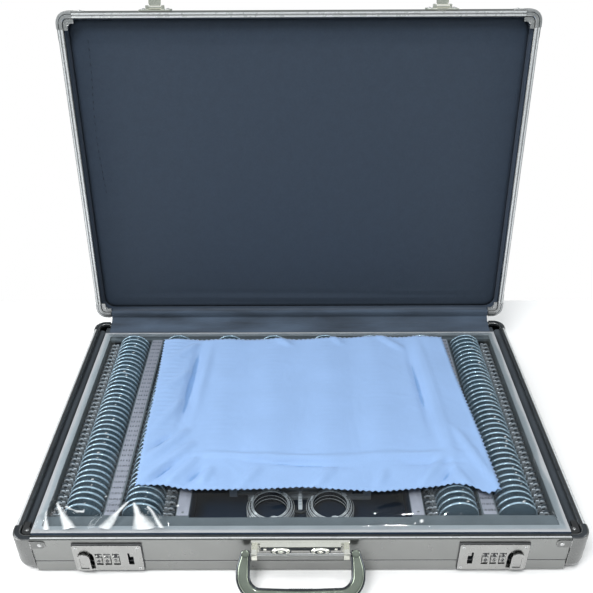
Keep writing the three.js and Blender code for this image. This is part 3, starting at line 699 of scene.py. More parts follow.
def make_front_painted_shadow():
    """Painted shadow: a dark strip in the gap between the front rim and the tray."""
    shape = Shape().add(slab((-243, -172.3, 36.3), (243, -171.15, 42.5), 0.3, 0.2))
    shape.add(slab((-241, -173.05, 42.3), (241, -171.4, 42.96), 0.2, 0.1))
    make_piece("base_front_painted_shadow", shape, "dark_fabric", "base")


make_rail_painted_shades()
make_rim_bands()
make_front_painted_shadow()

# ---------------------------------------------------------------- soft surfaces: folds and ripples


def ripple(x, y, seed, wavelength, waves=7):
    """Smooth random height between about -1 and 1, from seeded plane waves."""
    draw = random.Random(seed)
    total = 0
    for _ in range(waves):
        turn = draw.uniform(0, math.pi)
        length = wavelength * draw.uniform(0.6, 1.7)
        phase = draw.uniform(0, 2 * math.pi)
        total = total + np.sin((x * math.cos(turn) + y * math.sin(turn)) * 2 * math.pi / length + phase)
    return total / waves * 1.6


def crease(x, y, start, end, width, height):
    """A fold along a straight line, highest in the middle of its length."""
    (x0, y0), (x1, y1) = start, end
    span = (x1 - x0) ** 2 + (y1 - y0) ** 2
    along = ((x - x0) * (x1 - x0) + (y - y0) * (y1 - y0)) / span
    held = np.clip(along, 0, 1)
    apart = np.hypot(x - x0 - held * (x1 - x0), y - y0 - held * (y1 - y0))
    return height * np.exp(-((apart / width) ** 2)) * np.sin(np.pi * np.clip(along, 0.03, 0.97))


def smooth_step(value):
    value = np.clip(value, 0, 1)
    return value * value * (3 - 2 * value)


def held_below(heights, ceiling, give=1.5):
    """Heights eased so that none passes the ceiling, which the closed lid's lining sets."""
    low = ceiling - give
    return np.where(heights > low, low + give * np.tanh((heights - low) / give), heights)


def grid(xs, ys, points):
    """A sheet of quads over a grid; points has the shape (len(ys), len(xs), 3)."""
    columns = len(xs)
    faces = []
    for j in range(len(ys) - 1):
        for i in range(columns - 1):
            corner = j * columns + i
            faces.append((corner, corner + 1, corner + columns + 1, corner + columns))
    return [tuple(p) for p in points.reshape(-1, 3)], faces


def padded_sheet(xs, ys, face, back):
    """A closed pad: a face and a back surface over one grid, joined round the edge."""
    points, faces = grid(xs, ys, face)
    back_points, back_faces = grid(xs, ys, back)
    count, columns, rows = len(points), len(xs), len(ys)
    faces += [tuple(reversed([count + i for i in f])) for f in back_faces]
    border = list(range(columns)) + [j * columns + columns - 1 for j in range(1, rows)]
    border += list(range(rows * columns - 2, (rows - 1) * columns - 1, -1))
    border += [j * columns for j in range(rows - 2, 0, -1)]
    for a, b in zip(border, border[1:] + border[:1]):
        faces.append((b, a, count + a, count + b))
    return points + back_points, faces


# ---------------------------------------------------------------- lid lining

LINING_LOW = Vector((-252, -172, 58.2))
LINING_HIGH = Vector((252, 172, 61.2))
LINING_CORNER = 14


def rounded_grid(half_x, half_y, corner, columns, rows):
    """Grid points of a rectangle, drawn in at its corners to a radius."""
    u, v = np.meshgrid(np.linspace(-1, 1, columns), np.linspace(-1, 1, rows))
    x, y = u * half_x, v * half_y
    over_x, over_y = np.abs(x) - (half_x - corner), np.abs(y) - (half_y - corner)
    inside = (over_x > 0) & (over_y > 0)
    largest = np.maximum(over_x, over_y)
    length = np.hypot(over_x, over_y)
    shrink = np.where(inside, largest / np.maximum(length, 1e-6), 1)
    x = np.where(inside, np.sign(x) * (half_x - corner + over_x * shrink), x)
    y = np.where(inside, np.sign(y) * (half_y - corner + over_y * shrink), y)
    return x, y


def make_lid_lining():
    columns, rows = 169, 117
    x, y = rounded_grid(LINING_HIGH.x, LINING_HIGH.y, LINING_CORNER, columns, rows)
    corner_x = np.maximum(np.abs(x) - (LINING_HIGH.x - LINING_CORNER), 0)
    corner_y = np.maximum(np.abs(y) - (LINING_HIGH.y - LINING_CORNER), 0)
    edge = np.where((corner_x > 0) & (corner_y > 0), LINING_CORNER - np.hypot(corner_x, corner_y),
                    np.minimum(LINING_HIGH.x - np.abs(x), LINING_HIGH.y - np.abs(y)))
    rolled = np.sqrt(np.clip(1 - (1 - np.clip(edge / 5.0, 0, 1)) ** 2, 0, 1))
    thickness = LINING_HIGH.z - LINING_LOW.z
    swell = ripple(x, y, 3, 150) * 0.35 + ripple(x, y, 4, 48) * 0.10
    swell += crease(x, y, (-246, 158), (246, 160), 3.0, 1.2)
    swell += crease(x, y, (60, 152), (240, 150), 2.2, 0.8)
    swell -= crease(x, y, (-248, 152), (248, 153.5), 1.6, 0.9)
    swell += crease(x, y, (-236, -150), (-238, 60), 2.6, 0.5)
    face = LINING_HIGH.z - rolled * (thickness + swell * smooth_step(edge / 12)) - 0.05
    points = np.stack([x, y, face], -1)
    back = np.stack([x, y, np.full_like(x, LINING_HIGH.z)], -1)
    shape = Shape().add(padded_sheet(range(columns), range(rows), points, back)).turn(LID_OPEN)
    lining = make_piece("lid_lining_pad", shape, "fabric", "lid", ["lid_lining"], sharp=70)


def make_lid_walls():
    """Fabric-covered strips that stand round the inside of the lid, from the lining to the rim."""
    outer_x, outer_y, thick = 253.4, 173.4, 2.0
    low, high = 47.6, 58.6
    shape = Shape()
    steps = 10
    stations = []
    radius = LINING_CORNER + 1
    centre_x, centre_y = outer_x - radius, outer_y - radius
    for quarter, (sx, sy) in enumerate([(1, 1), (-1, 1), (-1, -1), (1, -1)]):
        for i in range(steps + 1):
            turn = math.radians(90 * quarter + 90 * i / steps)
            out = Vector((math.cos(turn), math.sin(turn), 0))
            stations.append((Vector((sx * centre_x, sy * centre_y, 0)) + out * radius, -out))
    rings = []
    section = [(0, high), (0, low + 0.6), (0.5, low), (thick - 0.5, low), (thick, low + 0.8),
               (thick + 0.5, high)]
    for place, inward in stations:
        rings.append([place + inward * u + Vector((0, 0, h)) for u, h in section])
    shape.add(loft(rings, joined=True)).turn(LID_OPEN)
    walls = make_piece("lid_lining_walls", shape, "fabric", "lid", sharp=50)


def make_stitches():
    """A row of short stitches down the left part of the lid's lining."""
    shape = Shape()
    y, last, pitch = -150, 20, 8
    while y < last:
        x = -233 + 2 * math.sin(y / 31)
        z = LINING_LOW.z - 0.7
        thread = [(x, y, z + 0.7), (x, y + 0.8, z), (x + 0.2, y + 2.2, z), (x + 0.2, y + 3, z + 0.7)]
        shape.add(tube(thread, 0.28, 6))
        y += pitch
    shape.turn(LID_OPEN)
    make_piece("lid_lining_stitches", shape, "thread", "lid")


make_lid_lining()
make_lid_walls()
make_stitches()

# ---------------------------------------------------------------- base liner


def wall_pad(start, end, inward, thick, low, high, seed):
    """A foam strip in fabric from start to end: upright sides and a rounded, slightly uneven top."""
    start, end, inward = Vector(start), Vector(end), Vector(inward)
    count = max(int((end - start).length / 5), 3)
    roll = min(thick / 2, 3.5)
    rings = []
    draw = random.Random(seed)
    phases = [draw.uniform(0, 6.3) for _ in range(3)]
    for i in range(count + 1):
        share = i / count
        place = start + (end - start) * share
        distance = share * (end - start).length
        wave = math.sin(distance / 17 + phases[0]) + math.sin(distance / 41 + phases[1])
        bulge = thick + 0.18 * wave * min(thick / 9, 1)
        top = high + 0.25 * math.sin(distance / 29 + phases[2])
        section = [(0, low), (bulge, low), (bulge, top - roll)]
        section += [(bulge - roll + a, top - roll + b) for a, b in arc((0, 0), roll, 15, 90, 5)]
        section += [(roll - a, top - roll + b) for a, b in reversed(arc((0, 0), roll, 15, 90, 5))]
        section += [(0, top - roll)]
        rings.append([place + inward * u + Vector((0, 0, h)) for u, h in section])
    return loft(rings)


def make_base_liner():
    shape = Shape()
    low, side_top, back_top, front_top = 4.0, 37.5, 36.3, 36.0
    side_x, side_end, back_y, back_end, front_y = 256.6, 166.5, 176.6, 246.5, -176.8
    for side in (-1, 1):
        front, back = (side * side_x, -side_end, 0), (side * side_x, side_end, 0)
        shape.add(wall_pad(front, back, (-side, 0, 0), 9.5, low, side_top, side + 5))
    shape.add(wall_pad((-back_end, back_y, 0), (back_end, back_y, 0), (0, -1, 0), 19.4, low, back_top, 9))
    for left, right in ((-back_end, -204), (-144, 144), (204, back_end)):
        shape.add(wall_pad((left, front_y, 0), (right, front_y, 0), (0, 1, 0), 1.2, low, front_top, 11))
    shape.add(slab((-246.4, -175.2, low), (246.4, 156.8, 10.2), 2, 0.5))
    liner = make_piece("base_liner_padding", shape, "liner_fabric", "base", ["base_liner"])


make_base_liner()

# ---------------------------------------------------------------- hinge flap

FLAP_ROUTE = [
    (158.6, 39.6), (169.8, 41.2), (171.4, 42.9), (177.9, 43.3), (180.2, 45.9), (182.6, 47.6), (182.9, 54.2),
    (184.4, 55.2), (193, 54.6),
]
FLAP_HALF_WIDTH = 240


def along_route(route, share):
    """Point at a share of the length of a line of points."""
    lengths = [math.dist(a, b) for a, b in zip(route, route[1:])]
    left = share * sum(lengths)
    for (a, b), length in zip(zip(route, route[1:]), lengths):
        if left <= length:
            return a[0] + (b[0] - a[0]) * left / length, a[1] + (b[1] - a[1]) * left / length
        left -= length
    return route[-1]


def make_hinge_flap():
    columns, rows = 161, 49
    xs = np.linspace(-FLAP_HALF_WIDTH, FLAP_HALF_WIDTH, columns)
    raw = [along_route(FLAP_ROUTE, i / (rows - 1)) for i in range(rows)]
    line = []
    for i in range(rows):
        near = raw[max(i - 2, 0):i + 3]
        line.append((sum(p[0] for p in near) / len(near), sum(p[1] for p in near) / len(near)))
    line[0], line[-1] = raw[0], raw[-1]
    points = np.zeros((rows, columns, 3))
    for j, (y, z) in enumerate(line):
        share = j / (rows - 1)
        free = math.sin(math.pi * share)
        wave = ripple(xs, np.full_like(xs, share * 60), 21, 60) * 0.5
        wave = wave + ripple(xs, np.full_like(xs, share * 20), 22, 17) * 0.25
        for x0 in (-190, -96, 12, 118, 205):
            wave = wave + crease(xs, np.full_like(xs, share * 30), (x0, 0), (x0 + 16, 30), 3, 0.8)
        wave = wave + 2.4 * smooth_step((share - 0.60) / 0.05) * smooth_step((0.97 - share) / 0.1)
        points[j, :, 0] = xs
        points[j, :, 1] = y - wave * free * 0.5
        points[j, :, 2] = z + np.maximum(wave, -0.3) * free * 0.6
    shape = Shape().add(grid(xs, range(rows), points))
    flap = make_piece("hinge_flap_fabric", shape, "flap_fabric", None, ["hinge_flap"],
                      sharp=80, closed=False)
    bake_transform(flap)


make_hinge_flap()

# ---------------------------------------------------------------- numbers


def glyph_forms(characters, size, weight):
    """Flat outlines of single characters from Blender's own font, centred; weight thickens the strokes."""
    forms = {}
    for character in characters:
        text = bpy.data.curves.new("glyph", "FONT")
        text.body, text.size, text.align_x, text.align_y = character, size, "CENTER", "CENTER"
        text.resolution_u = 2
        text.offset = weight
        holder = bpy.data.objects.new("glyph", text)
        bpy.context.scene.collection.objects.link(holder)
        graph = bpy.context.evaluated_depsgraph_get()
        mesh = bpy.data.meshes.new_from_object(holder.evaluated_get(graph))
        forms[character] = ([tuple(v.co) for v in mesh.vertices], [tuple(p.vertices) for p in mesh.polygons])
        bpy.data.objects.remove(holder)
        bpy.data.meshes.remove(mesh)
        bpy.data.curves.remove(text)
    return forms


STRIP_GLYPHS = glyph_forms("0123456789.", 3.6, 0.06)
DIAL_GLYPHS = glyph_forms("0123456789", 5.6, 0.16)


def add_number(shape, text, place, advance, material):
    """Writes a number centred on a place."""
    pens = []
    pen = 0
    for character in text:
        width = advance * (0.5 if character == "." else 1)
        pens.append(pen + width / 2)
        pen += width
    for character, at in zip(text, pens):
        shape.add(STRIP_GLYPHS[character], place @ moved(at - pen / 2, 0, 0), material)


def lens_power(index):
    """Power of a lens by its place in the row: quarter steps to 5, half steps to 10, then whole ones."""
    if index < 20:
        return 0.25 * (index + 1)
    if index < 30:
        return 5 + 0.5 * (index - 19)
    return 10 + (index - 29)


STRIP_TOP = BOARD_HIGH.z + 0.35


def make_number_strips():
    for name, x, rows in (("outer_left", -175.5, 38), ("outer_right", 175.5, 38), ("inner_left", -58.5, 29),
                          ("inner_right", 58.5, 29)):
        front = BACK_LENS_Y - LENS_PITCH * (rows - 1) - 5
        shape = Shape().add(slab((x - 6, front, BOARD_HIGH.z), (x + 6, BACK_LENS_Y + 5, STRIP_TOP), 0.8,
                                 0.12))
        for i in range(rows):
            y = BACK_LENS_Y - LENS_PITCH * i
            for column in (-2.9, 2.9):
                place = moved(x + column, y, STRIP_TOP + 0.03)
                add_number(shape, f"{lens_power(i):.1f}"[:4], place, 1.75, 1)
        make_piece(f"number_strip_{name}", shape, "strip ink", "base")


make_number_strips()

# ---------------------------------------------------------------- tray: slot ribs and front plates


def make_slot_ribs():
    """Rounded ribs between the lenses, along both walls of each pocket."""
    rib_thick, base_z = 2.9, 14.0
    for number, (centre, count, side, _) in enumerate(LENS_ROWS, 1):
        shape = Shape()
        walls = ((-side, LENS_RADIUS + 0.6, 3.0, 40.8), (side, LENS_RADIUS + HANDLE_REACH + 1.2, 6.0, 36.5))
        for direction, reach, deep, top_z in walls:
            outer, inner = centre + direction * reach, centre + direction * (reach - deep)
            for i in range(count - 1):
                y = BACK_LENS_Y - LENS_PITCH * (i + 0.5)
                low = (min(outer, inner), y - rib_thick / 2, base_z)
                high = (max(outer, inner), y + rib_thick / 2, top_z)
                shape.add(slab(low, high, 1.0, 0.5, 2))
        make_piece(f"tray_slot_ribs_{number}", shape, "rib", "base")


def make_front_plates():
    """Grey plates at the front of the tray, one each side of the trial frame's compartment."""
    for side_name, side in SIDES.items():
        low_x, high_x = sorted((side * 103.5, side * 114.6))
        top = BOARD_HIGH.z
        shape = Shape().add(slab((low_x, -150, top), (high_x, -90, top + 0.7), 1.2, 0.2))
        for y in (-146.5, -93.5):
            add_shape(shape, screw(1.3, 0.5), moved((low_x + high_x) / 2, y, top + 0.7), 1)
        make_piece(f"tray_front_plate_{side_name}", shape, "strip steel ink",
                   "base")


def make_compartment_liner():
    """Dark fabric on the floor and walls of the trial frame's compartment."""
    x, low_y, high_y, floor_z, top_z, thick = 102.9, -151.9, -88.1, 13.85, BOARD_HIGH.z - 0.3, 0.4
    shape = Shape().add(slab((-x, low_y, floor_z), (x, high_y, floor_z + thick), 0.5, 0.1))
    for side in (-1, 1):
        low_x, high_x = sorted((side * x, side * (x - thick)))
        shape.add(slab((low_x, low_y, floor_z), (high_x, high_y, top_z), 0.15, 0.1))
    for y in (low_y, high_y - thick):
        shape.add(slab((-x, y, floor_z), (x, y + thick, top_z), 0.15, 0.1))
    make_piece("tray_compartment_liner", shape, "dark_fabric", "base")


make_slot_ribs()
make_front_plates()
make_compartment_liner()

# ---------------------------------------------------------------- trial lenses

RIM_PROFILE = [
    (17.5, -0.8), (17.9, -1.25), (18.2, -1.3), (18.6, -1.1), (18.9, -0.6), (19.0, 0),
    (18.9, 0.6), (18.6, 1.1), (18.2, 1.3), (17.9, 1.25), (17.5, 0.8),
]
LENS_STEPS = 44


def lens_shape():
    """One trial lens standing on edge: its axis along Y, its handle towards +X."""
    upright = about("X", 90)
    shape = Shape().add(turned(RIM_PROFILE, LENS_STEPS, joined=True), upright, 0)
    half_edge, crown = 0.55, 0.75
    radii = [17.6, 14, 10, 5.5]
    side = [(r, half_edge + crown * (1 - (r / 17.6) ** 2)) for r in radii]
    profile = [(r, -h) for r, h in reversed(side)] + side
    shape.add(turned(profile, LENS_STEPS), upright, 2)
    neck = slab((18.3, -1.6, -0.45), (22.6, 1.6, 0.45), 0.3, 0.15, 1)
    plate = slab((20.2, -3.0, -0.7), (23.6, 5.6, 0.7), 0.7, 0.25, 2)
    shape.add(neck, upright, 1).add(plate, upright, 1)
    eye = [(2.0, -0.7), (3.3, -0.7), (3.7, -0.4), (3.7, 0.4), (3.3, 0.7), (2.0, 0.7)]
    shape.add(turned(eye, 16, joined=True), upright @ moved(LENS_RADIUS + HANDLE_REACH - 3.7, 1.6, 0), 1)
    return shape


def make_lenses():
    lens = lens_shape()
    shapes = {}
    draw = random.Random(31)
    for centre, count, side, node in LENS_ROWS:
        shape = shapes.setdefault(node, Shape())
        turn = Matrix.Identity(4) if side > 0 else Matrix.Rotation(math.pi, 4, "Z")
        for i in range(count):
            lean = about("X", draw.uniform(-1.2, 1.2))
            y = BACK_LENS_Y - LENS_PITCH * i + draw.uniform(-0.25, 0.25)
            add_shape(shape, lens, moved(centre, y, LENS_CENTRE_Z) @ lean @ turn)
    for node, shape in shapes.items():
        make_piece(node.replace("lens_row", "trial_lenses_row"), shape,
                   "rim handle_tab glass", "base", [node], sharp=50)


make_lenses()

# ---------------------------------------------------------------- trial frame


def centre_of(node):
    low, high = extent(node)
    return (low + high) / 2


RING_X, RING_Y, KNOB_Y = 28.5, -126, -95
RING_FACETS, KNOB_RIDGES, SCALE_MARKS = 64, 18, 36


def glint_bead(radius, height, size=0.42):
    """A thin bright ring of half-thickness size, lying level: a painted highlight on a darker hoop."""
    section = [(radius - size, height), (radius, height + size)]
    section += [(radius + size, height), (radius, height - size)]
    return turned(section, RING_FACETS, joined=True)


def make_trial_frame_rings():
    for side_name, side in SIDES.items():
        node = f"trial_frame_ring_{side_name}"
        middle = Vector((side * RING_X, RING_Y, 0))
        shape = Shape()
        hoop = [(19.6, 20.3), (20.2, 20), (22.4, 20), (23, 20.6), (23, 22.6), (22.5, 23.2), (22.5, 24.8),
                (23, 25.4), (23, 27.4), (22.4, 28), (20.2, 28), (19.6, 27.7)]
        # the hoop is in the painted dark reflection; the bright rings laid on it are painted highlights
        shape.add(turned(hoop, RING_FACETS, joined=True), Matrix.Translation(middle), 2)
        for radius, height in ((22.75, 20.9), (22.75, 23), (22.6, 27.7), (20.9, 28)):
            shape.add(glint_bead(radius, height), Matrix.Translation(middle))
        shape.add(slab((-7.5, -105, 20.5), (7.5, -98.8, 27.5), 1, 0.5), moved(side * RING_X, 0, 0))
        shape.add(slab((-4.5, -101, 27.5), (4.5, -91, 30), 1, 0.5), moved(side * RING_X, 0, 0))
        knob = [(3.2, 28.8), (4.0, 29.4), (4.0, 33.2), (3.4, 34)]
        shape.add(turned(knob, 24), moved(side * RING_X, KNOB_Y, 0), 1)
        for i in range(KNOB_RIDGES):
            turn = Matrix.Rotation(2 * math.pi * i / KNOB_RIDGES, 4, "Z")
            ridge = slab((3.9, -0.3, 29.8), (4.25, 0.3, 32.9), 0.1, 0.1, 1)
            shape.add(ridge, moved(side * RING_X, KNOB_Y, 0) @ turn, 1)
        make_piece(node + "_fine", shape, "frame plastic dark_chrome",
                   f"frame_ring_{side_name}", [node])


def make_trial_frame_drums():
    for side_name, side in SIDES.items():
        node = f"trial_frame_drum_{side_name}"
        middle = moved(side * RING_X, RING_Y, 0)
        shape = Shape()
        wall = [(16.5, 18.2), (16.8, 18), (18.8, 18), (19.1, 18.3), (19.1, 28.2), (20.3, 28.3), (20.6, 28.7),
                (20.6, 30), (20.2, 30.3), (18.4, 30.6), (16.8, 31), (16.5, 30.8)]
        # the wall is in the painted dark reflection; the bright rings laid on it are painted highlights
        shape.add(turned(wall, RING_FACETS, joined=True), middle, 2)
        for i in range(SCALE_MARKS):
            length = 1.6 if i % 3 else 2.4
            mark = slab((20.0 - length, -0.12, 30.2), (20.0, 0.12, 30.62), 0.05, 0.04, 1)
            shape.add(mark, middle @ Matrix.Rotation(2 * math.pi * i / SCALE_MARKS, 4, "Z"))
        for angle in (40, 160, 280):
            turn = middle @ about("Z", angle)
            shape.add(slab((17.2, -2.2, 30.2), (19.6, 2.2, 34), 0.8, 0.5), turn)
            shape.add(tube([(18.4, -3.4, 33), (18.4, 3.4, 33)], 0.7, 8), turn)
        for radius, height in ((17, 31), (18.2, 30.7), (20.3, 30.2), (16.7, 26), (16.7, 21.5)):
            shape.add(glint_bead(radius, height), middle)
        line = [(19.3, 28.6), (19.3, 30.45), (19.7, 30.45), (19.7, 28.6)]
        shape.add(turned(line, RING_FACETS, joined=True), middle, 1)
        make_piece(node + "_fine", shape, "frame ink dark_chrome",
                   f"frame_drum_{side_name}", [node])


def make_nose_rest():
    shape = Shape()
    shape.add(slab((-2, -134, 31.3), (2, -91.8, 33.3), 1, 0.5))
    for i in range(9):
        y = -128 + i * 3.6
        shape.add(slab((-1.5, y, 33.2), (1.5, y + 0.35, 33.45), 0.1, 0.05, 1), material=1)
    bridge = [(x, -133 - 5.5 * math.sqrt(max(1 - (x / 6.0) ** 2, 0)), 33.2) for x in np.linspace(-5, 5, 13)]
    shape.add(slab((-2, -93.4, 28.4), (2, -91.8, 31.8), 0.6, 0.3))
    shape.add(tube(bridge, 1.5, 12), material=2)
    make_piece("trial_frame_nose_rest_fine", shape, "frame ink plastic",
               "nose_rest", ["trial_frame_nose_rest"])


make_trial_frame_rings()
make_trial_frame_drums()
make_nose_rest()

# ---------------------------------------------------------------- locks, dials, screws and painted shadows

FACE_Y = -181.2
DIAL_AXIS_Y, DIAL_AXIS_Z, DIAL_RADIUS, DIAL_WIDTH = -174.9, 19, 8.5, 5.6


def dial_shape(shown):
    """A number wheel on the X axis, its ten digits round it, notches between; shown faces front."""
    profile = [(7.2, -DIAL_WIDTH / 2), (8.1, -DIAL_WIDTH / 2), (DIAL_RADIUS - 0.1, -DIAL_WIDTH / 2 + 0.4),
               (DIAL_RADIUS - 0.1, DIAL_WIDTH / 2 - 0.4), (8.1, DIAL_WIDTH / 2), (7.2, DIAL_WIDTH / 2)]
    lay = about("Y", 90)
    shape = Shape()
    steps = 60
    rings = []
    for radius, height in profile:
        ring = []
        for i in range(steps):
            turn = 2 * math.pi * i / steps
            notch = 0.55 if (i % 6 == 3 and radius > 8) else 0
            ring.append(lay @ Vector(((radius - notch) * math.cos(turn), (radius - notch) * math.sin(turn),
                                      height)))
        rings.append(ring)
    shape.add(loft(rings))
    shape.add(turned([(1.9, -DIAL_WIDTH / 2), (7.3, -DIAL_WIDTH / 2 + 0.2), (7.3, DIAL_WIDTH / 2 - 0.2),
                      (1.9, DIAL_WIDTH / 2)], 32, joined=True), lay)
    for digit in range(10):
        points, faces = DIAL_GLYPHS[str((shown + digit) % 10)]
        around = math.radians(36 * digit)
        bent = []
        for px, py, _ in points:
            up = py / DIAL_RADIUS + around
            bent.append((px, -(DIAL_RADIUS - 0.04) * math.cos(up), (DIAL_RADIUS - 0.04) * math.sin(up)))
        shape.add((bent, faces), material=1)
    return shape


def make_dials():
    shown = {"left": (4, 0, 7), "right": (2, 5, 8)}
    for side_name in SIDES:
        for i in range(3):
            node = f"combination_dial_{side_name}_{i + 1}"
            middle = centre_of(node)
            shape = dial_shape(shown[side_name][i]).turn(moved(middle.x, DIAL_AXIS_Y, DIAL_AXIS_Z))
            make_piece(node + "_wheel", shape, "dial ink", f"dial_{side_name}_{i + 1}",
                       [node])


def make_lock_fittings():
    for side_name, side in SIDES.items():
        low, high = extent(f"lock_housing_{side_name}")
        shape = Shape()
        inset = 3.2
        for x in (low.x + inset, high.x - inset):
            for z in (low.z + inset, high.z - inset):
                add_shape(shape, screw(1.5, 0.7), facing((x, FACE_Y, z), (0, -1, 0)))
        make_piece(f"lock_screws_{side_name}", shape, "steel ink", "base")
        # painted shadow: dark strips round the edges of the lock plate
        painted_shadow = Shape()
        for near, far in ((low.x - 0.4, low.x + 0.6), (high.x - 0.6, high.x + 0.6)):
            painted_shadow.add(slab((near, FACE_Y + 0.7, low.z - 0.6), (far, FACE_Y + 2.35, high.z + 0.6), 0.3, 0.1,
                            2))
        for near, far in ((low.z - 0.3, low.z + 0.5), (high.z - 0.5, high.z + 0.7)):
            painted_shadow.add(slab((low.x, FACE_Y + 0.7, near), (high.x, FACE_Y + 2.35, far), 0.3, 0.1, 2))
        make_piece(f"lock_painted_shadow_{side_name}", painted_shadow, "seam", "base")


make_dials()
make_lock_fittings()

# ---------------------------------------------------------------- handle

HANDLE_PIVOT = Vector((0, -187.5, 33))
HANDLE_DROOP = Matrix.Translation(HANDLE_PIVOT) @ about("X", 35)


def handle_stations():
    """Centre, sideways direction and half width along half the bow, from the pivot end to the middle."""
    stations = []
    arm = ((3.2, 48.8, 4.6), (2.4, 48.8, 4.6), (0, 49.0, 4.7), (-5, 49.8, 5.3), (-10, 50.6, 6.0),
           (-15, 50.9, 6.3))
    for y, x, half in arm:
        stations.append((Vector((x, y)), Vector((1, 0)), half))
    bend = 17.0
    for i in range(1, 9):
        turn = math.radians(-76 * i / 8)
        out = Vector((math.cos(turn), math.sin(turn)))
        stations.append((Vector((50.9 - bend, -18.0)) + out * bend, out, 6.3))
    start = stations[-1][0]
    for i in range(1, 9):
        share = i / 8
        x = start.x * (1 - share)
        y = start.y - 1.2 * math.sin(share * math.pi / 2)
        across = Vector((0.24 * (1 - share), -1)).normalized()
        stations.append((Vector((x, y)), across, 6.3 + 0.1 * share))
    return stations


def bow_form(stations, narrow, thick):
    """A rounded bar along the stations, narrower than them by narrow and reaching thick each way."""
    rings = []
    for number, (centre, across, width) in enumerate(stations):
        end = min(number, len(stations) - 1 - number)
        pinch = (0.72, 0.93)[end] if end < 2 else 1
        ring = []
        for k in range(24):
            turn = 2 * math.pi * k / 24
            u = math.copysign(abs(math.cos(turn)) ** 0.45, math.cos(turn)) * (width - narrow) * pinch
            v = math.copysign(abs(math.sin(turn)) ** 0.55, math.sin(turn)) * thick * pinch
            ring.append((centre.x + across.x * u, centre.y + across.y * u, v))
        rings.append(ring)
    return loft(rings)


HANDLE_RIBS, HANDLE_EYE_X = 13, 48.9


def make_handle():
    half = handle_stations()
    whole = half + [(Vector((-c.x, c.y)), Vector((-a.x, a.y)), w) for c, a, w in reversed(half[:-1])]
    # the bow's edges and the ribs across its grip are in the painted dark reflection; the face's greenish
    # tone is a painted reflection too
    shape = Shape().add(bow_form(whole, 0, 3.0), material=1)
    shape.add(bow_form(whole, 1.5, 4.0))
    for i in range(-(HANDLE_RIBS // 2), HANDLE_RIBS // 2 + 1):
        rib = slab((i * 1.6 - 0.4, -30.6, -2.9), (i * 1.6 + 0.4, -29.0, 2.9), 0.2, 0.2, 2)
        shape.add(rib, material=1)
    for side in (-1, 1):
        for face in (-1, 1):
            eye = turned([(3.6, 3.6), (3.4, 4.3), (2.6, 4.7), (1.2, 4.75)], 28)
            place = moved(side * HANDLE_EYE_X, 0, 0) @ Matrix.Rotation(0 if face > 0 else math.pi, 4, "X")
            shape.add(eye, place)
    shape.turn(HANDLE_DROOP)
    make_piece("carry_handle_bow", shape, "handle_face dark_chrome", "handle",
               ["carry_handle"], sharp=30)


make_handle()


def make_handle_bracket_eyes():
    """The dark band across the bracket's front, a painted dark reflection, with two oval bosses on it, their
    dark rings painted dark reflections too, and the rivets at its ends.
    """
    shape = Shape()
    front, boss_x, rivet_x = -186.55, 17.5, 31.5
    boss = turned([(7.0, -0.4), (7.0, 0.7), (6.3, 1.6), (4.6, 2.0), (3.9, 1.5), (2.6, 1.5), (2.2, 2.1),
                   (0.9, 2.3)], 36)
    rim = turned([(7.0, -0.4), (7.0, 0.4), (7.9, 0.4), (7.9, -0.4)], 36, joined=True)
    pupil = turned([(4.4, 1.4), (4.4, 1.75), (2.6, 1.75), (2.6, 1.4)], 36, joined=True)
    for side in (-1, 1):
        place = facing((side * boss_x, front, 36.6), (0, -1, 0)) @ Matrix.Diagonal((1.2, 0.62, 1, 1))
        shape.add(boss, place).add(rim, place, 1).add(pupil, place, 1)
        shape.add(dome(1.7, 0.9), facing((side * rivet_x, front, 38.4), (0, -1, 0)))
    shape.add(slab((-35.6, front - 0.15, 37.3), (35.6, front + 0.2, 40.6), 0.6, 0.1, 2), material=1)
    shape.add(slab((-37.5, -181.75, 29.0), (37.5, -181.4, 37.0), 0.15, 0.05, 1), material=2)
    make_piece("handle_bracket_bosses", shape, "chrome dark_chrome plate",
               "base")


make_handle_bracket_eyes()

# ---------------------------------------------------------------- hinge and hasp rivets


HINGE_RIVETS, HINGE_RIVET_X, HINGE_RIVET_DROP, HINGE_LEAF_Y = 12, 198, 8.5, 180.1
HASP_X, HASP_RIVET_X, HASP_PIN_REACH = 153.5, 13.2, 9


def make_hinge_rivets():
    for half in ("base", "lid"):
        shape = Shape()
        for i in range(HINGE_RIVETS):
            x = -HINGE_RIVET_X + 2 * HINGE_RIVET_X * i / (HINGE_RIVETS - 1)
            z = HINGE.z - HINGE_RIVET_DROP if half == "base" else HINGE.z + HINGE_RIVET_DROP
            shape.add(dome(1.7, 0.8), facing((x, HINGE_LEAF_Y, z), (0, 1, 0)))
        if half == "lid":
            shape.turn(LID_OPEN)
        make_piece(f"hinge_rivets_{half}", shape, "steel", half)


def make_hasp_rivets():
    for side_name, side in SIDES.items():
        shape = Shape()
        x = side * HASP_X
        for offset in (-HASP_RIVET_X, HASP_RIVET_X):
            for z in (50.2, 57.8):
                shape.add(dome(1.8, 1.0), facing((x + offset, -180.6, z), (0, -1, 0)))
        shape.add(tube([(x - HASP_PIN_REACH, -182.5, 52), (x + HASP_PIN_REACH, -182.5, 52)], 1.1, 12))
        shape.turn(LID_OPEN)
        make_piece(f"hasp_rivets_{side_name}", shape, "steel", "lid")


make_hinge_rivets()
make_hasp_rivets()

# ---------------------------------------------------------------- clear film

FILM_LOW, FILM_HIGH = extent("clear_film")


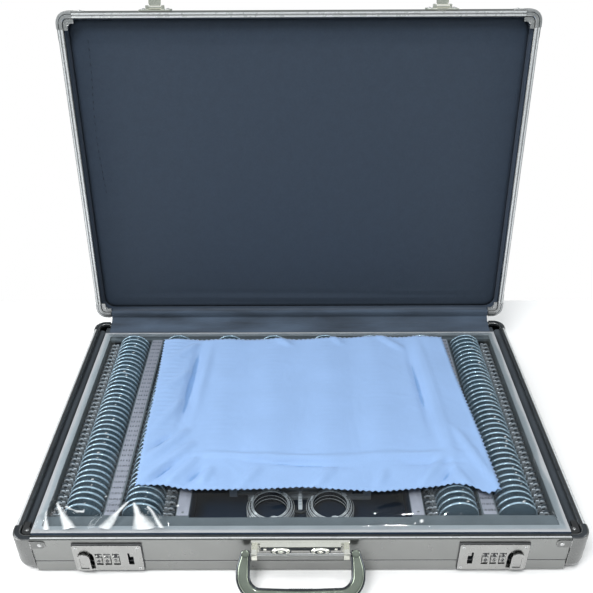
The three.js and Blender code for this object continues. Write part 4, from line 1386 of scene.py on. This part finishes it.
def film_height(x, y):
    """Height of the film: resting on the lens tops, a little slack between the rows, falling to its edges."""
    tops = FILM_HIGH.z - 0.55
    apart = np.full_like(x, 1e9)
    for centre, count, _, _ in LENS_ROWS:
        front = BACK_LENS_Y - LENS_PITCH * (count - 1)
        beyond = np.maximum(front - y, 0) + np.maximum(y - BACK_LENS_Y, 0)
        apart = np.minimum(apart, np.hypot(np.abs(x - centre), beyond * 0.8))
    slack = 1.7 * (1 - np.exp(-((apart / 19) ** 2)))
    print_through = 0.16 * np.cos(2 * math.pi * (y - BACK_LENS_Y) / LENS_PITCH) * np.exp(-((apart / 9) ** 2))
    edge = np.minimum.reduce([FILM_HIGH.x - np.abs(x), y - FILM_LOW.y, FILM_HIGH.y - y])
    reach = np.where((FILM_HIGH.x - np.abs(x)) <= edge + 1e-6, 16.0, 20.0)
    rise = smooth_step(np.clip(edge / reach, 0, 1)) ** 0.8
    wrinkle = ripple(x, y, 41, 90) * 0.25 + ripple(x, y, 42, 30) * 0.12
    height = FILM_LOW.z + 0.25 + rise * (tops - FILM_LOW.z - slack + print_through)
    return height + wrinkle * np.clip(edge / 20, 0.3, 1) + 0.25


FILM_CEILING = 56.6
FILM_FOLDS = [
    ((-243, -150), (-234, -170), 4.5, 5.0), ((-222, -140), (-200, -172), 5.5, 6.5),
    ((-157, -140), (-190, -172), 5.5, 6.5), ((-150, -140), (-122, -172), 6.0, 6.5),
    ((-236, -166), (-196, -132), 3.5, 2.4), ((-238, -140), (-205, -150), 3, 1.6),
    ((-228, -164), (-150, -138), 3, 2.0), ((-190, -166), (-120, -142), 3.2, 2.2),
    ((-160, -167), (-105, -150), 2.6, 1.4), ((236, -166), (190, -128), 3.4, 2.2),
    ((236, -60), (212, -30), 3, 1.8), ((236, 40), (214, 66), 3, 1.6), ((120, -164), (190, -146), 3, 1.5),
    ((-236, 60), (-214, 90), 3, 1.5), ((-60, -166), (20, -140), 3.5, 1.4),
    ((40, -166), (95, -146), 3, 1.3), ((-214, 146), (-150, 128), 3, 1.4),
    ((210, 146), (150, 126), 3, 1.4),
]


# painted reflections, in streaks where the film is stretched down from the front lenses: path and half widths
FILM_GLINT_STREAKS = [
    (((-234, -149), (-231, -159), (-229.5, -168)), (0.9, 1.0, 3.2)),
    (((-223, -146), (-218, -157), (-208, -168)), (0.8, 1.8, 6.0)),
    (((-159, -145), (-164.5, -157), (-177, -168)), (0.8, 1.6, 5.0)),
    (((-153, -145), (-149, -156), (-141, -168)), (0.9, 3.0, 11.0)),
    (((-139, -152), (-134, -158), (-125, -168)), (0.8, 1.2, 2.5)),
    (((-213, -152), (-206, -157), (-197, -154)), (0.7, 1.1, 0.6)),
]
# painted specks of light on the film: place and radius
FILM_GLINT_SPECKS = [((109.8, -161.4), 1.6), ((-181, -135), 0.9), ((-112.5, -146.5), 1.3), ((104, -163.5), 0.8),
               ((118, -162.5), 0.7)]


def film_glint_paint(x, y):
    """How much painted glint the film gets, 0 to 1: painted reflections in streaks widening to the front
    edge, painted specks of light over the rims.
    """
    white = np.zeros_like(x)
    for path, widths in FILM_GLINT_STREAKS:
        for t in np.linspace(0, 1, 60):
            (x0, y0), (x1, y1), (x2, y2) = path
            px = (1 - t) ** 2 * x0 + 2 * t * (1 - t) * x1 + t * t * x2
            py = (1 - t) ** 2 * y0 + 2 * t * (1 - t) * y1 + t * t * y2
            width = np.interp(t, (0, 0.5, 1), widths)
            apart = np.hypot((x - px) / width, (y - py) / max(0.5 * width, 0.9))
            white = np.maximum(white, 1.1 - apart ** 2)
    # painted glints along the tops of the lens rims in the outer rows
    draw = random.Random(77)
    for number in (0, 1, 6, 7):
        centre, count = LENS_ROWS[number][:2]
        for i in range(count):
            px, py = centre + draw.uniform(2, 7), BACK_LENS_Y - LENS_PITCH * i + draw.uniform(-0.6, 0.6)
            spot = draw.uniform(0.2, 1.1) - ((x - px) / 1.3) ** 2 - ((y - py) / 0.9) ** 2
            white = np.maximum(white, spot)
    for (px, py), radius in FILM_GLINT_SPECKS:
        white = np.maximum(white, 1.2 - (np.hypot(x - px, y - py) / radius) ** 2)
    return np.clip(white, 0, 0.95)


def make_film():
    columns, rows = 385, 259
    xs = np.linspace(FILM_LOW.x + 0.3, FILM_HIGH.x - 0.3, columns)
    ys = np.linspace(FILM_LOW.y + 0.3, FILM_HIGH.y - 0.3, rows)
    x, y = np.meshgrid(xs, ys)
    z = film_height(x, y)
    for start, end, width, height in FILM_FOLDS:
        z = z + crease(x, y, start, end, width, height)
    z = held_below(z, FILM_CEILING)
    waver = ripple(x, y, 44, 70)
    side = smooth_step((np.abs(x) - 225) / 15)
    x = x + np.sign(x) * waver * side * 1.2
    points = np.stack([x, y, z], -1)
    shape = Shape().add(grid(xs, ys, points))
    film = make_piece("clear_film_sheet", shape, "film", "film", ["clear_film"],
                      sharp=80, closed=False)
    # the painted glints go to the film's material as a mesh attribute
    white = film.data.attributes.new("glint_paint", "FLOAT", "POINT")
    white.data.foreach_set("value", film_glint_paint(x, y).ravel())


make_film()

# ---------------------------------------------------------------- cleaning cloth

CLOTH_CORNERS = {"back_left": (-162, 119), "back_right": (171, 126), "front_right": (187, -127),
                 "front_left": (-155, -124)}
CLOTH_TOOTH = 1.3
CLOTH_CEILING = 56.7
FOLD_STRENGTH = 1.35
SETTLE_FRAMES, CACHE_FRAMES = 12, 24
# the film's stand-in under the cloth: first and last place, and the number of lines
STAND_IN_X, STAND_IN_Y = (-200, 225, 171), (-165, 150, 127)
# how far the front edge lies behind or before a straight line, along its width
CLOTH_FRONT_EDGE = [
    (0, 0), (0.07, 1.5), (0.16, -4), (0.3, -3), (0.45, 0.5), (0.55, -2), (0.67, -5), (0.8, 0), (0.88, 4),
    (0.93, 0), (0.965, -7), (1, -2),
]
# start and end of each fold, its half width and its height
CLOTH_FOLDS = [
    ((-112, -80), (70, -90), 2.6, 4.0), ((-60, -90), (60, -99), 2.4, -2.4),
    ((20, -86), (172, -80), 3.2, 3.2), ((90, -94), (168, -92), 3.0, -2.0),
    ((-152, -118), (-104, -60), 3.6, 5.0), ((-146, -122), (-118, -84), 3.0, -3.0),
    ((-152, -90), (-112, -40), 3.4, 4.2), ((-152, -76), (-128, -50), 3, -2.4),
    ((-128, -124), (-100, -84), 3.2, 4.2), ((-112, -124), (-92, -96), 3.2, -2.8),
    ((-96, -124), (-84, -98), 3.4, 2.6), ((-150, -44), (-124, 10), 3.6, 3.4),
    ((-118, 126), (-126, -50), 4.2, -3.4), ((-104, 120), (-112, -30), 4, 1.8),
    ((-150, 20), (-122, 62), 3.6, 2.8), ((140, 128), (150, -112), 4.6, 4.6),
    ((127, 122), (136, -70), 4.4, -2.4), ((158, -40), (184, -122), 3.8, 3.8),
    ((112, -126), (146, -78), 3.8, 3.8), ((128, -126), (152, -96), 3, -2.4),
    ((160, -128), (146, -98), 3.4, 2.8), ((-60, -128), (-36, -96), 3.8, 2.8),
    ((10, -128), (34, -98), 3.8, 3.0), ((70, -128), (84, -102), 3.6, 2.2),
    ((-158, 66), (-118, 116), 4, 3.4), ((92, 130), (124, 98), 4, 3.2), ((-34, 128), (-8, 106), 4, 2.6),
    ((36, 130), (52, 108), 3.6, 2.2),
]


def cloth_start():
    """The cloth before it settles: a grid with pinked edges between the four corners, in low loose folds."""
    columns, rows = 121, 91
    u, v = np.meshgrid(np.linspace(0, 1, columns), np.linspace(0, 1, rows))
    corner = CLOTH_CORNERS
    x = (1 - v) * ((1 - u) * corner["front_left"][0] + u * corner["front_right"][0])
    x += v * ((1 - u) * corner["back_left"][0] + u * corner["back_right"][0])
    y = (1 - v) * ((1 - u) * corner["front_left"][1] + u * corner["front_right"][1])
    y += v * ((1 - u) * corner["back_left"][1] + u * corner["back_right"][1])
    teeth_x = np.where(np.arange(columns) % 2 == 0, CLOTH_TOOTH, -CLOTH_TOOTH / 2)
    teeth_y = np.where(np.arange(rows) % 2 == 0, CLOTH_TOOTH, -CLOTH_TOOTH / 2)
    y[0] -= teeth_x
    y[-1] += teeth_x
    x[:, 0] -= teeth_y
    x[:, -1] += teeth_y
    front_edge = np.interp(u, *zip(*CLOTH_FRONT_EDGE))
    y += front_edge * (1 - v) ** 3 + np.sin(u * 9 + 1) * 1.3 * v
    x += np.sin(v * 7) * 1.5 * (u - 0.5)
    z = film_height(x, y) + 1.5 + 0.3 * np.maximum(cloth_folds(x, y), 0) + ripple(x, y, 51, 85) * 0.35
    return np.stack([x, y, z], -1), columns, rows


def cloth_folds(x, y):
    """Height of the cloth's pressed-in folds, with the lens rims of one row showing through it."""
    folds = 0
    for start, end, width, height in CLOTH_FOLDS:
        folds = folds + FOLD_STRENGTH * crease(x, y, start, end, width, height)
    row = np.exp(-(((x - LENS_ROWS[1][0]) / 11) ** 2)) * smooth_step((y + 70) / 60)
    return folds + 0.55 * row * (np.cos(2 * math.pi * (y - BACK_LENS_Y) / LENS_PITCH) + 1)


def make_cloth():
    points, columns, rows = cloth_start()
    shape = Shape().add(grid(range(columns), range(rows), points))
    cloth = make_piece("cleaning_cloth_sheet", shape, "cloth", None,
                       ["cleaning_cloth"], sharp=80, closed=False)
    settle(cloth)
    press_folds(cloth)
    solid = cloth.modifiers.new("thickness", "SOLIDIFY")
    solid.thickness = 0.5 * MM
    solid.offset = 1
    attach(cloth, "cloth")


def press_folds(cloth):
    """Adds the folds to the settled cloth."""
    places = np.zeros(len(cloth.data.vertices) * 3)
    cloth.data.vertices.foreach_get("co", places)
    places = places.reshape(-1, 3)
    heights = places[:, 2] / MM + cloth_folds(places[:, 0] / MM, places[:, 1] / MM)
    places[:, 2] = held_below(heights, CLOTH_CEILING) * MM
    cloth.data.vertices.foreach_set("co", places.ravel())
    cloth.data.update()


def settle(cloth):
    """Lets the cloth sink onto the film by simulation, then keeps the result as its mesh."""
    scene = bpy.context.scene
    xs, ys = np.linspace(*STAND_IN_X), np.linspace(*STAND_IN_Y)
    x, y = np.meshgrid(xs, ys)
    shape = Shape().add(grid(xs, ys, np.stack([x, y, film_height(x, y) + 0.15], -1)))
    rest = make_piece("film_stand_in", shape, "film", "film", closed=False)
    rest.modifiers.new("collision", "COLLISION")
    rest.collision.thickness_outer = 0.0004
    rest.collision.cloth_friction = 20
    simulation = cloth.modifiers.new("cloth", "CLOTH")
    settings = simulation.settings
    settings.quality = 6
    settings.mass = 0.15
    settings.tension_stiffness = settings.compression_stiffness = 25
    settings.shear_stiffness = 15
    settings.bending_stiffness = 0.6
    settings.air_damping = 4
    simulation.collision_settings.distance_min = 0.0006
    simulation.point_cache.frame_start, simulation.point_cache.frame_end = 1, CACHE_FRAMES
    scene.frame_start, scene.frame_end = 1, CACHE_FRAMES
    for number in range(1, SETTLE_FRAMES + 1):
        scene.frame_set(number)
    graph = bpy.context.evaluated_depsgraph_get()
    settled = cloth.evaluated_get(graph)
    places = np.zeros(len(settled.data.vertices) * 3)
    settled.data.vertices.foreach_get("co", places)
    cloth.modifiers.remove(simulation)
    cloth.data.vertices.foreach_set("co", places)
    cloth.data.update()
    scene.frame_set(1)
    bpy.data.objects.remove(rest)


make_cloth()

# ---------------------------------------------------------------- floor, light and camera


def make_floor():
    mesh = bpy.data.meshes.new("floor")
    half, back, z = 1.6, 0.3, -0.0006
    mesh.from_pydata([(-half, -half, z), (half, -half, z), (half, back, z), (-half, back, z)], [],
                     [(0, 1, 2, 3)])
    floor = bpy.data.objects.new("floor", mesh)
    bpy.context.scene.collection.objects.link(floor)
    mesh.materials.append(make_material("pale_floor", (0.93, 0.93, 0.93), 0.9, 0.0, 0.01, 3, 0.05, 200, 0.02))


def add_light(name, place, target, size, energy, mirrored):
    """A soft area light; one that isn't mirrored lights surfaces without showing in them."""
    light = bpy.data.lights.new(name, "AREA")
    light.shape = "RECTANGLE"
    light.size, light.size_y = size
    light.energy = energy
    holder = bpy.data.objects.new(name, light)
    holder.location = place
    holder.rotation_euler = (Vector(target) - Vector(place)).to_track_quat("-Z", "Y").to_euler()
    holder.visible_glossy = mirrored
    bpy.context.scene.collection.objects.link(holder)


def make_lights():
    add_light("key_softbox", (-0.6, -1.1, 1.9), (0, 0, 0.1), (0.8, 0.6), 30, False)
    add_light("back_softbox", (0.0, 1.7, 1.9), (0, 0, 0.1), (2.0, 0.5), 9, False)
    add_light("right_softbox", (2.0, -0.3, 1.1), (0, 0, 0.15), (0.5, 1.4), 8, True)
    add_light("left_strip", (-1.9, -0.1, 1.1), (0, 0, 0.1), (0.9, 1.8), 26, True)
    add_light("small_lamp", (0.3, -0.35, 1.9), (0, 0, 0.1), (0.05, 0.05), 4, True)
    world = bpy.data.worlds.new("studio")
    bpy.context.scene.world = world
    world.use_nodes = True
    tree = world.node_tree
    sky = tree.nodes["Background"]
    place = tree.nodes.new("ShaderNodeTexCoord")
    split = tree.nodes.new("ShaderNodeSeparateXYZ")
    tree.links.new(place.outputs["Generated"], split.inputs["Vector"])
    height = link_range(tree, split.outputs["Z"], 0, 1, 0.0, 0.9)
    shade = link_mix(tree, height, (0.20, 0.23, 0.22), (0.62, 0.64, 0.66))
    tree.links.new(shade, sky.inputs["Color"])
    white = tree.nodes.new("ShaderNodeBackground")
    white.inputs["Color"].default_value = (1, 1, 1, 1)
    path = tree.nodes.new("ShaderNodeLightPath")
    mix = tree.nodes.new("ShaderNodeMixShader")
    tree.links.new(path.outputs["Is Camera Ray"], mix.inputs[0])
    tree.links.new(sky.outputs["Background"], mix.inputs[1])
    tree.links.new(white.outputs["Background"], mix.inputs[2])
    tree.links.new(mix.outputs["Shader"], tree.nodes["World Output"].inputs["Surface"])


def make_camera():
    data = bpy.data.cameras.new("camera")
    data.sensor_width = 36
    data.lens = 45.4
    data.shift_y = 0.09
    data.clip_start, data.clip_end = 0.01, 50
    camera = bpy.data.objects.new("camera", data)
    camera.location = (-0.0009, -0.6277, 0.562)
    camera.rotation_euler = (math.radians(90 - 34.95), math.radians(0.26), math.radians(0.04))
    bpy.context.scene.collection.objects.link(camera)
    bpy.context.scene.camera = camera
    bpy.context.scene.view_settings.view_transform = "Standard"


make_floor()
make_lights()
make_camera()
